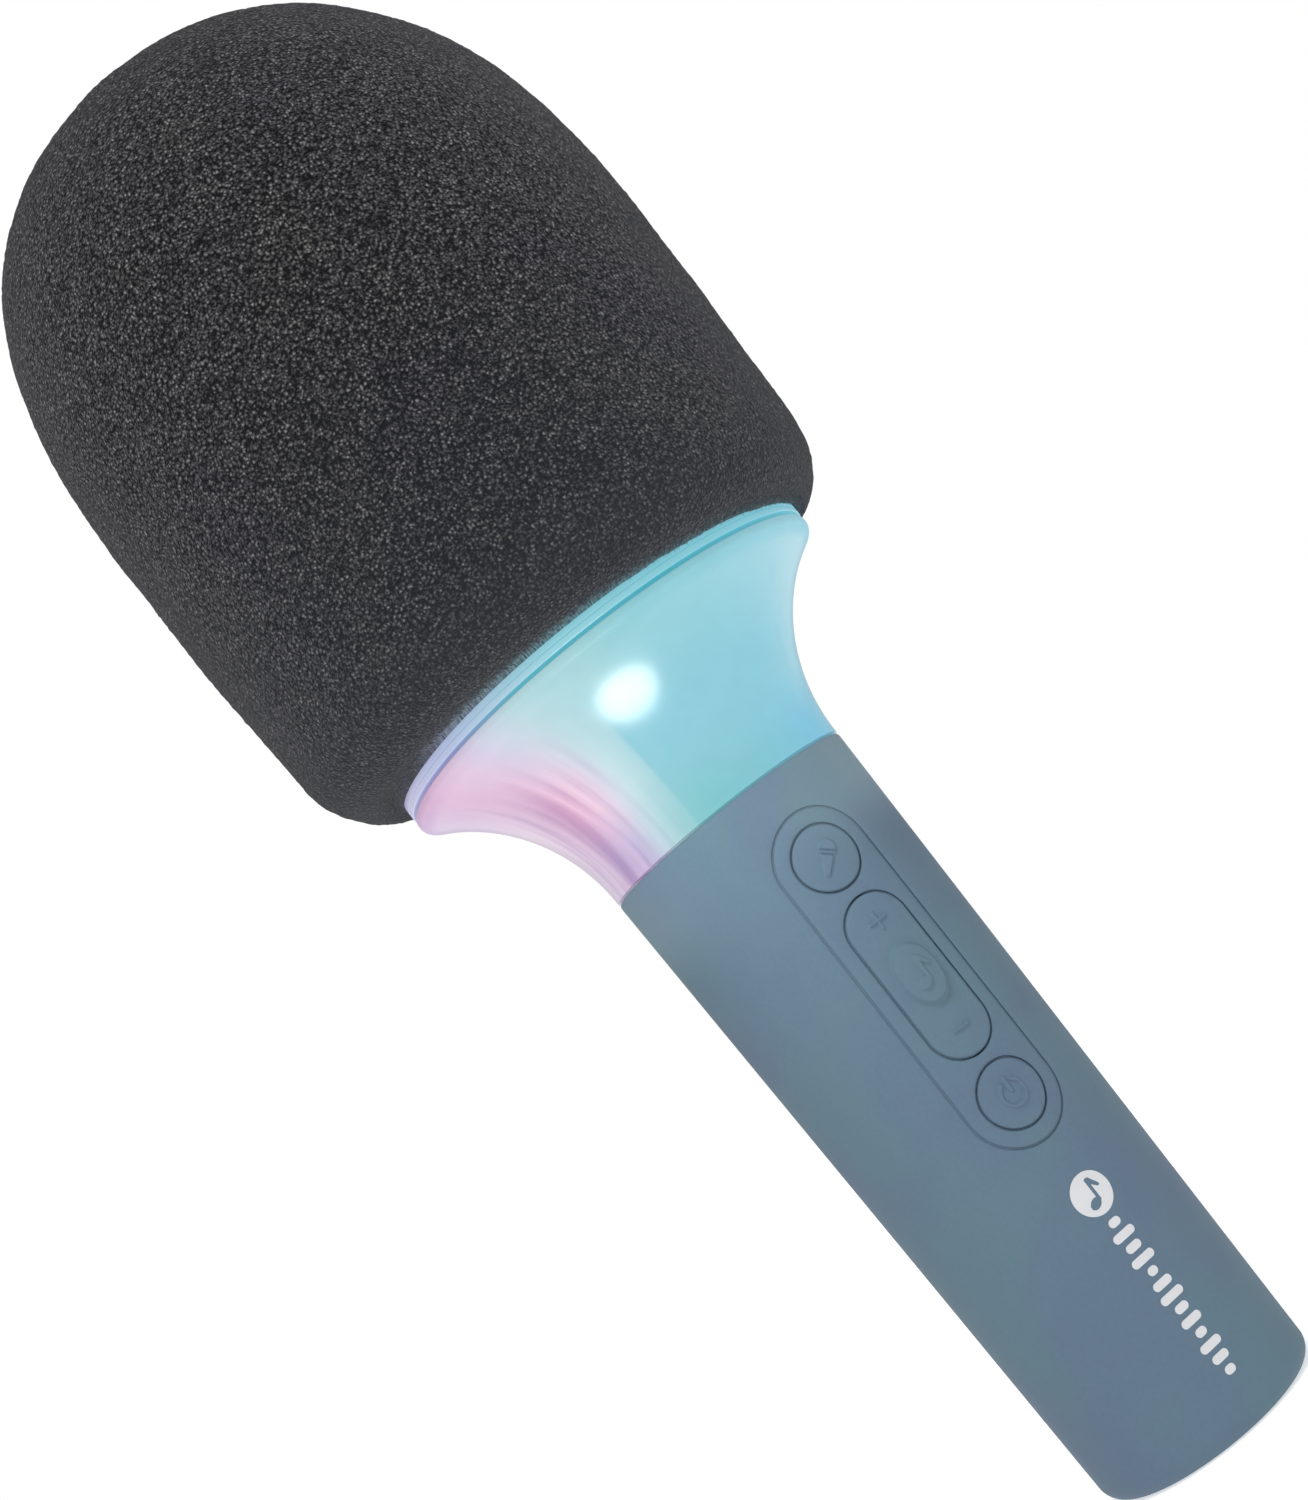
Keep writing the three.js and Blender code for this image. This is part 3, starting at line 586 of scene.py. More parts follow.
def make_materials():
    slots = {
        "soft_touch": soft_touch_material("soft_touch", SLATE, TEAL_SLATE),
        "soft_touch_key": soft_touch_material("soft_touch_key", SLATE, TEAL_SLATE),
        "foam": foam_material(),
        "black_plastic": plain_material("black_plastic", srgb(28, 29, 31), 0.5),
        "white_plastic": plain_material("white_plastic", srgb(228, 231, 233), 0.4, spread=0.04),
        "led": plain_material("led", srgb(240, 236, 205), 0.3, spread=0.05),
        "grey_rubber": plain_material("grey_rubber", srgb(84, 89, 92), 0.85, spread=0.08),
        "steel": plain_material("steel", srgb(168, 172, 176), 0.3, 1.0, 0.15 * MM, spread=0.06),
        "ferrite": plain_material("ferrite", srgb(54, 54, 58), 0.7, 0.1, 0.4 * MM, 0.05 * MM),
        "paper": plain_material("paper", srgb(33, 34, 37), 0.9, 0, 0.5 * MM, 0.08 * MM),
        "copper": plain_material("copper", srgb(184, 108, 60), 0.35, 1.0, 0.1 * MM),
        "circuit_board": plain_material("circuit_board", srgb(30, 105, 68), 0.4, 0, 0.4 * MM),
        "chip": plain_material("chip", srgb(24, 25, 27), 0.45),
        "cell_wrap": plain_material("cell_wrap", srgb(58, 126, 196), 0.3, 0, 0.8 * MM, 0.01 * MM, 0.04),
        "red_wire": plain_material("red_wire", srgb(184, 38, 42), 0.45),
        "black_wire": plain_material("black_wire", srgb(24, 25, 27), 0.45),
        "neck": neck_material(),
        "ring": ring_material(),
        "print": plain_material("print", srgb(204, 205, 208), 0.6, spread=0.02),
    }
    slots["diffuser"] = slots["ring"]
    return slots


# ---- Meshes ----
def piece(name, skin, material, sharp_degrees):
    """An object made of a skin. Edges that turn more than this stay sharp."""
    smooth_angle = math.radians(sharp_degrees)
    mesh = bpy.data.meshes.new(name)
    mesh.from_pydata([tuple(p) for p in skin.points], [], skin.faces)
    mesh.validate()
    mesh.materials.append(material)
    mesh.shade_smooth()
    mesh.set_sharp_from_angle(angle=smooth_angle)
    made = bpy.data.objects.new(name, mesh)
    bpy.context.scene.collection.objects.link(made)
    return made


class Skin:
    """Points and faces that grow ring by ring. Every ring is closed and runs the same way round."""

    def __init__(self):
        self.points = []
        self.faces = []

    def ring(self, points):
        start = len(self.points)
        self.points.extend(points)
        return list(range(start, len(self.points)))

    def add(self, points, faces):
        """More points, and faces that count them from 0."""
        start = len(self.points)
        self.points.extend(points)
        self.faces.extend(tuple(start + i for i in f) for f in faces)

    def wall(self, low, high):
        """Quads between two closed rows of new points."""
        self.join(self.ring(low), self.ring(high))

    def walls(self, *steps):
        """Walls through outlines in the front view, each with its height over the handle's surface."""
        for (low, low_height), (high, high_height) in zip(steps, steps[1:]):
            self.wall(wrapped(low, low_height), wrapped(high, high_height))

    def join(self, low, high):
        """Quads between two rings of the same count."""
        count = len(low)
        for i in range(count):
            j = (i + 1) % count
            self.faces.append((low[i], low[j], high[j], high[i]))

    def zip(self, low, high):
        """Triangles between two rings of any counts, both spread evenly round a turn."""
        i = j = 0
        n, k = len(low), len(high)
        while i < n or j < k:
            if j >= k or (i < n and (i + 1) / n <= (j + 1) / k):
                self.faces.append((low[i % n], low[(i + 1) % n], high[j % k]))
                i += 1
            else:
                self.faces.append((low[i % n], high[(j + 1) % k], high[j % k]))
                j += 1

    def cap(self, ring, point, flip=False):
        center = len(self.points)
        self.points.append(point)
        count = len(ring)
        for i in range(count):
            a, b = ring[i], ring[(i + 1) % count]
            self.faces.append((b, a, center) if flip else (a, b, center))


def circle(r, z, count):
    return [(r * math.cos(TAU * i / count), r * math.sin(TAU * i / count), z) for i in range(count)]


def disc_edge(r, center_z, count):
    """A circle in the front view."""
    return [(x, center_z + z) for x, z, _ in circle(r, 0, count)]


def turned(outline, count):
    """A closed outline of (radius, z) turned about the axis, as a skin with shared seams."""
    skin = Skin()
    rings = [skin.ring(circle(r, z, count)) for r, z in outline]
    for low, high in zip(rings, rings[1:] + rings[:1]):
        skin.join(low, high)
    return skin


def arc_points(center, radius, start, end, steps):
    return [
        (
            center[0] + radius * math.cos(math.radians(start + (end - start) * i / steps)),
            center[1] + radius * math.sin(math.radians(start + (end - start) * i / steps)),
        )
        for i in range(steps + 1)
    ]


def handle_radius(z):
    return HANDLE_FOOT_R + (HANDLE_TOP_R - HANDLE_FOOT_R) * z / HANDLE_TOP_Z


def on_handle(x, z, height=0.0):
    """The front view's point (x, z) on the handle's cone, or this far out from it."""
    radius = handle_radius(z) + height
    return (x, -math.sqrt(max(radius * radius - x * x, 0)), z)


def stadium(width, length, center_z, count, inset=0.0):
    """A stadium's outline in the front view, anticlockwise seen from the front, with even steps.
    Every inset gives points that match the outline's one by one."""
    radius = width / 2
    reach = (length - width) / 2
    arc = math.pi * radius
    total = 2 * arc + 4 * reach
    points = []
    for i in range(count):
        run = total * i / count
        if run < arc:
            angle, shift = run / radius, reach
        elif run < arc + 2 * reach:
            angle, shift = math.pi, reach - (run - arc)
        elif run < 2 * arc + 2 * reach:
            angle, shift = math.pi + (run - arc - 2 * reach) / radius, -reach
        else:
            angle, shift = TAU, -reach + (run - 2 * arc - 2 * reach)
        size = radius - inset
        points.append((size * math.cos(angle), center_z + shift + size * math.sin(angle)))
    return points


def inside_stadium(x, z, width, length, center_z):
    """How far inside a stadium's edge a point is, below 0 outside it."""
    reach = (length - width) / 2
    dz = max(abs(z - center_z) - reach, 0)
    return width / 2 - math.hypot(x, dz)


# ---- Signs on the keys: distances to generic shapes, in millimetres ----
def to_segment(p, a, b):
    ax, az = a
    dx, dz = b[0] - ax, b[1] - az
    t = max(0.0, min(1.0, ((p[0] - ax) * dx + (p[1] - az) * dz) / (dx * dx + dz * dz)))
    return math.hypot(p[0] - ax - t * dx, p[1] - az - t * dz), t


def microphone_sign(x, z):
    """A hand microphone, head up and to the right: a round head over a collar and a tapering grip."""
    c, d = 0.78, 0.62
    u, v = x * c - z * d, x * d + z * c
    head = max(math.hypot(u, v - 1.25) - 1.2, 0.98 - v)
    collar = max(abs(u) - 1.15, abs(v - 0.62) - 0.2)
    grip = max(abs(u) - (0.3 + 0.2 * (v + 2.65)), abs(v + 1.2) - 1.45)
    return min(head, collar, grip)


def power_sign(x, z):
    angle = math.atan2(x, z)
    gap = 0.5
    if abs(angle) < gap:
        side = math.copysign(gap, angle)
        arc = math.hypot(x - 1.75 * math.sin(side), z - 1.75 * math.cos(side))
    else:
        arc = abs(math.hypot(x, z) - 1.75)
    bar, _ = to_segment((x, z), (0, 0.3), (0, 2.2))
    return min(arc, bar) - 0.26


def note_sign(x, z):
    """A quaver: head, stem and flag."""
    x, z = x / 1.25, z / 1.25
    c, s = math.cos(0.4), math.sin(0.4)
    dx, dz = x + 0.35, z + 1.15
    u, v = (dx * c + dz * s) / 0.85, (-dx * s + dz * c) / 0.6
    head = (math.hypot(u, v) - 1) * 0.6
    stem, _ = to_segment((x, z), (0.36, -1.0), (0.36, 1.55))
    flag, t = to_segment((x, z), (0.5, 1.45), (1.3, 0.4))
    return 1.25 * min(head, stem - 0.23, flag - (0.36 - 0.16 * t))


def plus_sign(x, z):
    a, _ = to_segment((x, z), (-1.2, 0), (1.2, 0))
    b, _ = to_segment((x, z), (0, -1.2), (0, 1.2))
    return min(a, b) - 0.2


def minus_sign(x, z):
    a, _ = to_segment((x, z), (-1.2, 0), (1.2, 0))
    return a - 0.2


SIGN_HEIGHT = 0.3 * MM


def smooth(t):
    t = max(0.0, min(1.0, t))
    return t * t * (3 - 2 * t)


def raised(distance):
    """A sign's height from the distance to its edge in millimetres, with a short slope."""
    return SIGN_HEIGHT * smooth(0.5 - distance / 0.26)


# ---- Foam head ----
def foam_radius(z):
    if z >= FOAM_WIDEST_Z:
        share = (z - FOAM_WIDEST_Z) / (TOP_Z - FOAM_WIDEST_Z)
        return FOAM_R * max(0.0, 1 - share**FOAM_POWER) ** (1 / FOAM_POWER)
    corner_top = FOAM_FOOT_Z + FOAM_CORNER
    share = (FOAM_WIDEST_Z - z) / (FOAM_WIDEST_Z - corner_top)
    return FOAM_R - (FOAM_R - FOAM_FOOT_R) * share**1.5


def even_steps(points, step):
    """A path's points at even distances along it."""
    lengths = [0.0]
    for a, b in zip(points, points[1:]):
        lengths.append(lengths[-1] + math.dist(a, b))
    count = max(2, round(lengths[-1] / step))
    at = np.linspace(0, lengths[-1], count + 1)
    across, up = (np.interp(at, lengths, [p[k] for p in points]) for k in (0, 1))
    return list(zip(across, up))


FOAM_STEP = 0.64 * MM
FOAM_LEAN = -VIEW_RIGHT
EDGE_RISE = 0.3 * MM
EDGE_SKEW = 0.8 * MM

# How far the soft head leans to the left, by height, in millimetres.
LEAN_HEIGHTS = [130, 134, 139, 150, 170, 178, 205, 222, 240]
LEAN = [-0.35, 0.1, 0.6, 0.8, 0.65, 0.42, 0.8, 1.7, 1.5]


def lean_at(z):
    return float(np.interp(z / MM, LEAN_HEIGHTS, LEAN)) * MM


def foam_path():
    corner_top = FOAM_FOOT_Z + FOAM_CORNER
    corner = arc_points((FOAM_FOOT_R - FOAM_CORNER, corner_top), FOAM_CORNER, -74, 0, 40)
    side = [(foam_radius(z), z) for z in np.linspace(corner_top, FOAM_WIDEST_Z, 60)[1:]]
    dome = []
    for turn in np.linspace(0, math.pi / 2, 160)[1:]:
        z = FOAM_WIDEST_Z + math.sin(turn) * (TOP_Z - FOAM_WIDEST_Z)
        dome.append((foam_radius(z), z))
    return corner + side + dome


def edge_rise(point):
    """How much higher the foam's cut edge sits on the ring: it was pulled on a little askew."""
    side = point.dot(VIEW_RIGHT) / (36 * MM)
    inner = smooth((38.5 * MM - math.hypot(point.x, point.y)) / (3 * MM))
    low = smooth((142 * MM - point.z) / (8 * MM))
    return EDGE_RISE * inner * low - EDGE_SKEW * side * low * (inner if side < 0 else 1)


def foam_shift(point, normal):
    """Soft foam leans a little, is never quite round, and is pitted all over."""
    lumps = noise.noise(point / (13 * MM)) * 0.22 * MM
    dents = noise.noise(point / (4.5 * MM) + Vector((3, 5, 7))) * 0.08 * MM
    pores = noise.noise(point / (0.85 * MM) + Vector((11, 2, 9))) * 0.15 * MM
    rise = Vector((0, 0, edge_rise(point)))
    return point + normal * (lumps + dents + pores) + FOAM_LEAN * lean_at(point.z) + rise


FIBRE_COUNT = 1500
FIBRE_R = 0.04 * MM


def add_fibres(skin):
    """Short fibres along the foam's lower edge, where it was cut: thin spikes with three sides."""
    center_r, center_z = FOAM_FOOT_R - FOAM_CORNER, FOAM_FOOT_Z + FOAM_CORNER
    for k in range(FIBRE_COUNT):
        angle = TAU * (k + random.random()) / FIBRE_COUNT
        outward = Vector((math.cos(angle), math.sin(angle), 0))
        r = LIP_R + random.uniform(0.1, 1.6) * MM
        z = center_z - math.sqrt(FOAM_CORNER**2 - (r - center_r) ** 2)
        normal = (outward * (r - center_r) + Vector((0, 0, z - center_z))).normalized()
        root = foam_shift(outward * r + Vector((0, 0, z)), normal) - normal * 0.1 * MM
        reach = Vector((0, 0, -random.uniform(0.3, 0.8))) + outward * random.uniform(-0.3, 0.25)
        sideways = outward.cross(Vector((0, 0, 1))) * random.uniform(-0.35, 0.35)
        across = outward.cross(normal)
        corners = [TAU * i / 3 for i in range(3)]
        base = skin.ring([root + FIBRE_R * (math.cos(t) * outward + math.sin(t) * across) for t in corners])
        tip = skin.ring([root + (reach + sideways) * MM])[0]
        skin.faces.append((base[2], base[1], base[0]))
        skin.faces.extend((base[i], base[(i + 1) % 3], tip) for i in range(3))


def make_foam(material):
    """The foam head: a fine skin outside, a plain cavity for the grille, and fibres along its cut edge."""
    path = even_steps(foam_path(), FOAM_STEP)
    skin = Skin()
    rings = []
    for i, (r, z) in enumerate(path[:-1]):
        before, after = path[max(i - 1, 0)], path[i + 1]
        along = Vector((after[0] - before[0], after[1] - before[1])).normalized()
        count = max(6, round(TAU * r / (FOAM_STEP * 1.12)))
        ring = []
        for k in range(count):
            angle = TAU * k / count
            c, s = math.cos(angle), math.sin(angle)
            normal = Vector((along.y * c, along.y * s, -along.x))
            ring.append(foam_shift(Vector((r * c, r * s, z)), normal))
        rings.append(skin.ring(ring))
    for low, high in zip(rings, rings[1:]):
        skin.zip(low, high)
    skin.cap(rings[-1], foam_shift(Vector((0, 0, TOP_Z)), Vector((0, 0, 1))))
    throat = LIP_R + 0.3 * MM
    cavity_top = TOP_Z - FOAM_THICKNESS
    inner = [(throat, FOAM_FOOT_Z + 0.6 * MM), (throat, RING_Z[1] + 3 * MM)]
    for t in np.linspace(0, math.pi / 2, 24)[:-1]:
        z = GRILLE_SHOULDER_Z + math.sin(t) * (cavity_top - GRILLE_SHOULDER_Z)
        inner.append(((GRILLE_R + 1 * MM) * math.cos(t), z))
    last = rings[0]
    for r, z in inner:
        ring = skin.ring(circle(r, z, max(12, round(TAU * r / (3 * MM)))))
        skin.zip(ring, last)
        last = ring
    skin.cap(last, (0, 0, cavity_top), flip=True)
    add_fibres(skin)
    made = piece("foam_head", skin, material, 80)
    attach(made, "housing")
    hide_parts("foam_windscreen")


# ---- Neck ----
FLARE_CENTER = (HANDLE_TOP_R + FLARE_R, FLARE_START_Z)
SHELL_COUNT = 256


def make_neck(material):
    """The flared neck: a glossy wall with a rounded lip."""
    spigot = HANDLE_TOP_R - HANDLE_WALL - 0.4 * MM
    lip_round = 1 * MM
    top_round = 0.3 * MM
    outline = [(spigot, NECK_FOOT_Z), (spigot, FLARE_START_Z)]
    outline += arc_points(FLARE_CENTER, FLARE_R, 180, FLARE_END, 52)
    outline += arc_points((LIP_R - lip_round, LIP_Z[0] + lip_round), lip_round, FLARE_END - 180, 0, 8)
    outline += arc_points((LIP_R - top_round, LIP_Z[1] - top_round), top_round, 0, 90, 5)
    outline += [(LIP_R - 4 * MM, LIP_Z[1])]
    outline += arc_points(FLARE_CENTER, FLARE_R + NECK_WALL, 126.5, 165, 30)
    outline += [(spigot - NECK_WALL, FLARE_START_Z + 1.5 * MM), (spigot - NECK_WALL, NECK_FOOT_Z)]
    skin = turned(outline, SHELL_COUNT)
    neck = piece("neck_shell", skin, material, 28)
    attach(neck, "housing")
    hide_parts("neck_diffuser")
    return neck


def make_ring(material):
    """The light ring: a broad bead and a fine one, over a groove that its own skirt closes."""
    z0, z1 = RING_Z
    back = LIP_R - 5 * MM
    skirt = LIP_R - 0.4 * MM
    skirt_back = skirt - 0.6 * MM
    skirt_foot = LIP_Z[1] + 0.03 * MM
    bead = 0.22 * MM
    top_round = 0.5 * MM
    notch = LIP_R - 0.1 * MM
    step = LIP_R - 1.2 * MM
    outline = [(back, z0), (skirt_back, z0), (skirt_back, skirt_foot), (skirt, skirt_foot), (skirt, z0)]
    outline += arc_points((LIP_R - bead, z0 + bead), bead, -90, 0, 5)
    outline += [(LIP_R, RING_NOTCH_Z - 0.12 * MM), (notch, RING_NOTCH_Z - 0.04 * MM)]
    outline += [(notch, RING_NOTCH_Z + 0.04 * MM), (LIP_R, RING_NOTCH_Z + 0.12 * MM)]
    outline += arc_points((LIP_R - top_round, RING_STEP_Z - top_round), top_round, 0, 90, 6)
    outline += [(step, RING_STEP_Z), (step, z1), (back, z1)]
    skin = turned(outline, SHELL_COUNT)
    ring = piece("ring_band", skin, material, 30)
    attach(ring, "housing")
    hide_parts("light_ring")
    return ring


# ---- Handle ----
# The rounding of a moulded edge: how far back from the edge, and how deep, in metres.
EDGE_STEPS = [(0.12 * MM, 0.0), (0.04 * MM, -0.04 * MM), (0.0, -0.14 * MM)]
WEB_DEPTH = -0.38 * MM  # of the webs round the keys
PANEL_WEB = -0.24 * MM  # of the web round the panel
COLUMNS = 240
HOLE_COUNT = 240
PATCH_TURNS = 50  # columns each side of the front that the patch with the hole covers
PATCH_Z = (40 * MM, 100 * MM)


def front_column(i):
    """A column's angle, counted from the front."""
    return TAU * i / COLUMNS


def cone_point(angle, z, offset):
    r = handle_radius(z) + offset
    return (r * math.sin(angle), -r * math.cos(angle), z)


def hole_loops():
    """The window's edge in the sleeve, from its rim inwards."""
    return [
        (stadium(PANEL_WIDTH + 2 * GAP, PANEL_LENGTH + 2 * GAP, PANEL_Z, HOLE_COUNT, -grow), drop)
        for grow, drop in EDGE_STEPS
    ]


def inside(points, loop):
    """Which points are inside a closed loop."""
    x, y = np.array(points).T
    hit = np.zeros(len(points), bool)
    for (ax, ay), (bx, by) in zip(loop, loop[1:] + loop[:1]):
        if ay != by:
            crossing = (bx - ax) * (y - ay) / (by - ay) + ax
            hit ^= ((ay > y) != (by > y)) & (x < crossing)
    return hit


def sheet(outer, holes=(), extra=()):
    """Triangles of a flat region with holes, and with more points inside. Faces run anticlockwise."""
    points, edges = [], []
    for loop in (outer, *holes):
        start = len(points)
        points += [Vector(p) for p in loop]
        edges += [(start + i, start + (i + 1) % len(loop)) for i in range(len(loop))]
    points += [Vector(p) for p in extra]
    found, _, faces, _, _, _ = delaunay_2d_cdt(points, edges, [], 0, 1e-9)
    centers = [sum((found[i] for i in f), Vector((0, 0))) / len(f) for f in faces]
    keep = inside(centers, outer)
    for hole in holes:
        keep &= ~inside(centers, hole)
    return [tuple(p) for p in found], [tuple(f) for f, k in zip(faces, keep) if k]


def rim_edges(faces):
    """The edges that only one face uses, in its direction."""
    used = {(f[i], f[(i + 1) % len(f)]) for f in faces for i in range(len(f))}
    return [(a, b) for a, b in used if (b, a) not in used]


def bigger(loop_spec, grow):
    width, length, z, count = loop_spec
    return stadium(width, length, z, count, -grow)


def lattice(x_range, z_range, step):
    """Points in rows, each row shifted by half a step from the last."""
    (x0, x1), (z0, z1) = x_range, z_range
    nx = round((x1 - x0) / step)
    nz = round((z1 - z0) / step)
    return [
        (x0 + (x1 - x0) * (i + 0.5 * (k % 2)) / nx, z0 + (z1 - z0) * k / nz)
        for k in range(nz + 1)
        for i in range(nx + 1)
    ]


def merged(name, skin, material, sharp_degrees):
    """A piece whose meeting points are joined."""
    made = piece(name, skin, material, sharp_degrees)
    work = bmesh.new()
    work.from_mesh(made.data)
    bmesh.ops.remove_doubles(work, verts=work.verts, dist=1e-7)
    bmesh.ops.recalc_face_normals(work, faces=work.faces)
    work.to_mesh(made.data)
    work.free()
    made.data.shade_smooth()
    made.data.set_sharp_from_angle(angle=math.radians(sharp_degrees))
    return made


def wrapped(points_xz, offset):
    return [on_handle(x, z, offset) for x, z in points_xz]


def sleeve_sheet(skin, offset, rows, hole):
    """The sleeve's outer or inner cone with its window left out."""
    z_rows = sorted(set([round(z, 9) for z in rows] + [PATCH_Z[0], PATCH_Z[1]]))
    for za, zb in zip(z_rows, z_rows[1:]):
        in_patch = PATCH_Z[0] - 1e-9 <= za and zb <= PATCH_Z[1] + 1e-9
        for i in range(COLUMNS):
            if in_patch and (i < PATCH_TURNS or i >= COLUMNS - PATCH_TURNS):
                continue
            a, b = front_column(i), front_column(i + 1)
            corners = ((a, za), (b, za), (b, zb), (a, zb))
            skin.add([cone_point(angle, z, offset) for angle, z in corners], [(0, 1, 2, 3)])
    columns = [front_column(i) for i in range(-PATCH_TURNS, PATCH_TURNS + 1)]
    levels = [z for z in z_rows if PATCH_Z[0] - 1e-9 <= z <= PATCH_Z[1] + 1e-9]
    scale = 18.5 * MM
    grid = 0.8 * MM
    outer = [(a * scale, levels[0]) for a in columns]
    outer += [(columns[-1] * scale, z) for z in levels[1:]]
    outer += [(a * scale, levels[-1]) for a in reversed(columns[:-1])]
    outer += [(columns[0] * scale, z) for z in reversed(levels[1:-1])]

    def unroll(p):
        r = handle_radius(p[1]) + offset
        return (math.asin(p[0] / r) * scale, p[1])

    extra = []
    for z in np.arange(levels[0] + grid, levels[-1] - grid / 2, grid):
        for a in columns[1:-1]:
            x = math.sin(a) * (handle_radius(z) + offset)
            if inside_stadium(x, z, PANEL_WIDTH + 2 * GAP, PANEL_LENGTH + 2 * GAP, PANEL_Z) < -grid:
                extra.append((a * scale, z))
    found, kept = sheet(outer, [[unroll(p) for p in hole]], extra)
    skin.add([cone_point(u / scale, z, offset) for u, z in found], kept)


def sleeve_band(skin, profile):
    """A strip of the sleeve turned about its axis, with a column for each of the sheet's."""
    columns = [front_column(i) for i in range(COLUMNS)]
    for low, high in zip(profile, profile[1:]):
        skin.wall(*([(r * math.sin(a), -r * math.cos(a), z) for a in columns] for r, z in (low, high)))


def make_sleeve(material):
    """The tapered sleeve: two cones with a window, the window's edge, and the rounded top and foot."""
    skin = Skin()
    inner_foot_z = 4 * MM
    loops = hole_loops()
    sleeve_sheet(skin, 0.0, np.linspace(HANDLE_FILLET, HANDLE_ROUND_Z, 41), loops[0][0])
    skin.walls(*loops)
    sleeve_sheet(skin, -HANDLE_WALL, np.linspace(inner_foot_z, HANDLE_ROUND_Z, 9), loops[-1][0])
    skin.walls(loops[-1], (loops[-1][0], -HANDLE_WALL))
    r_top = handle_radius(HANDLE_ROUND_Z)
    top = [
        (r_top, HANDLE_ROUND_Z),
        (r_top - 0.02 * MM, 102.15 * MM),
        (r_top - 0.12 * MM, 102.33 * MM),
        (r_top - 0.3 * MM, HANDLE_TOP_Z),
        (r_top - HANDLE_WALL, HANDLE_TOP_Z),
        (r_top - HANDLE_WALL, HANDLE_ROUND_Z),
    ]
    sleeve_band(skin, top)
    r_foot = handle_radius(HANDLE_FILLET)
    foot = arc_points((r_foot - HANDLE_FILLET, HANDLE_FILLET), HANDLE_FILLET, 0, -90, 16)
    foot[0] = (r_foot, HANDLE_FILLET)
    foot += [
        (BASE_R + GAP, 0),
        (BASE_R + GAP, BASE_THICKNESS),
        (BASE_R + 1.2 * MM, BASE_THICKNESS),
        (handle_radius(inner_foot_z) - HANDLE_WALL, inner_foot_z),
    ]
    sleeve_band(skin, foot)
    sleeve = merged("handle_grip", skin, material, 35)
    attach(sleeve, "housing")
    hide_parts("handle_sleeve")
    return sleeve


def ledge(spec, reach):
    """An opening's outline moved towards its key, less at the ends, where a rocking key needs room."""
    width, length, center_z, count = spec
    wide = stadium(width, length, center_z, count)
    tight = stadium(width, length, center_z, count, reach)
    if length == width:
        return tight
    share = [0.15 + 0.85 * min(1, abs(a[0]) / (0.42 * width)) for a in wide]
    return [(a[0] + (b[0] - a[0]) * t, a[1] + (b[1] - a[1]) * t) for a, b, t in zip(wide, tight, share)]


def make_panel(material):
    """The key panel: a flush stadium with three openings and a flange behind the sleeve's wall.
    Thin webs close its grooves a little below the surface."""
    skin = Skin()
    opening = 2 * (KEY_R + GAP)
    openings = [
        (opening, opening, PANEL_Z + KEY_PITCH, 96),
        (opening, ROCKER_LENGTH + 2 * GAP, PANEL_Z, 168),
        (opening, opening, PANEL_Z - KEY_PITCH, 96),
    ]
    outer = (PANEL_WIDTH, PANEL_LENGTH, PANEL_Z, 300)
    face_outer = bigger(outer, -EDGE_STEPS[0][0])
    face_holes = [bigger(o, EDGE_STEPS[0][0]) for o in openings]
    spots = [
        p
        for p in lattice((-6.6 * MM, 6.6 * MM), (44 * MM, 96 * MM), 0.7 * MM)
        if inside_stadium(*p, PANEL_WIDTH, PANEL_LENGTH, PANEL_Z) > 0.5 * MM
        and all(inside_stadium(*p, w, l, z) < -0.45 * MM for w, l, z, _ in openings)
    ]
    found, kept = sheet(face_outer, face_holes, spots)
    skin.add(wrapped(found, 0.0), kept)
    for (ga, da), (gb, db) in zip(EDGE_STEPS, EDGE_STEPS[1:]):
        skin.walls((bigger(outer, -ga), da), (bigger(outer, -gb), db))
        for o in openings:
            skin.walls((bigger(o, ga), da), (bigger(o, gb), db))
    start = EDGE_STEPS[-1][1]
    shelf = -HANDLE_WALL - GAP
    back = shelf - 1 * MM
    edge, skirt, rim = bigger(outer, 0), bigger(outer, GAP - 0.04 * MM), bigger(outer, PANEL_FLANGE)
    rim_side = [(rim, shelf), (rim, back)]
    skin.walls((edge, start), (edge, PANEL_WEB), (skirt, PANEL_WEB), (skirt, shelf), *rim_side)
    for o in openings:
        hole, web = bigger(o, 0), ledge(o, GAP - 0.05 * MM)
        web_back = WEB_DEPTH - 0.3 * MM
        web_side = [(web, WEB_DEPTH), (web, web_back)]
        skin.walls((hole, start), (hole, WEB_DEPTH), *web_side, (hole, web_back), (hole, back))
    found, kept = sheet(rim, [bigger(o, 0) for o in openings])
    skin.add(wrapped(found, back), kept)
    panel = merged("key_panel", skin, material, 35)
    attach(panel, "housing")
    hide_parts("button_panel")
    return panel


# The skirt that closes the volume key's groove, by height over the handle's surface.
SKIRT_TOP = -0.3 * MM
SKIRT_LOW = -0.7 * MM


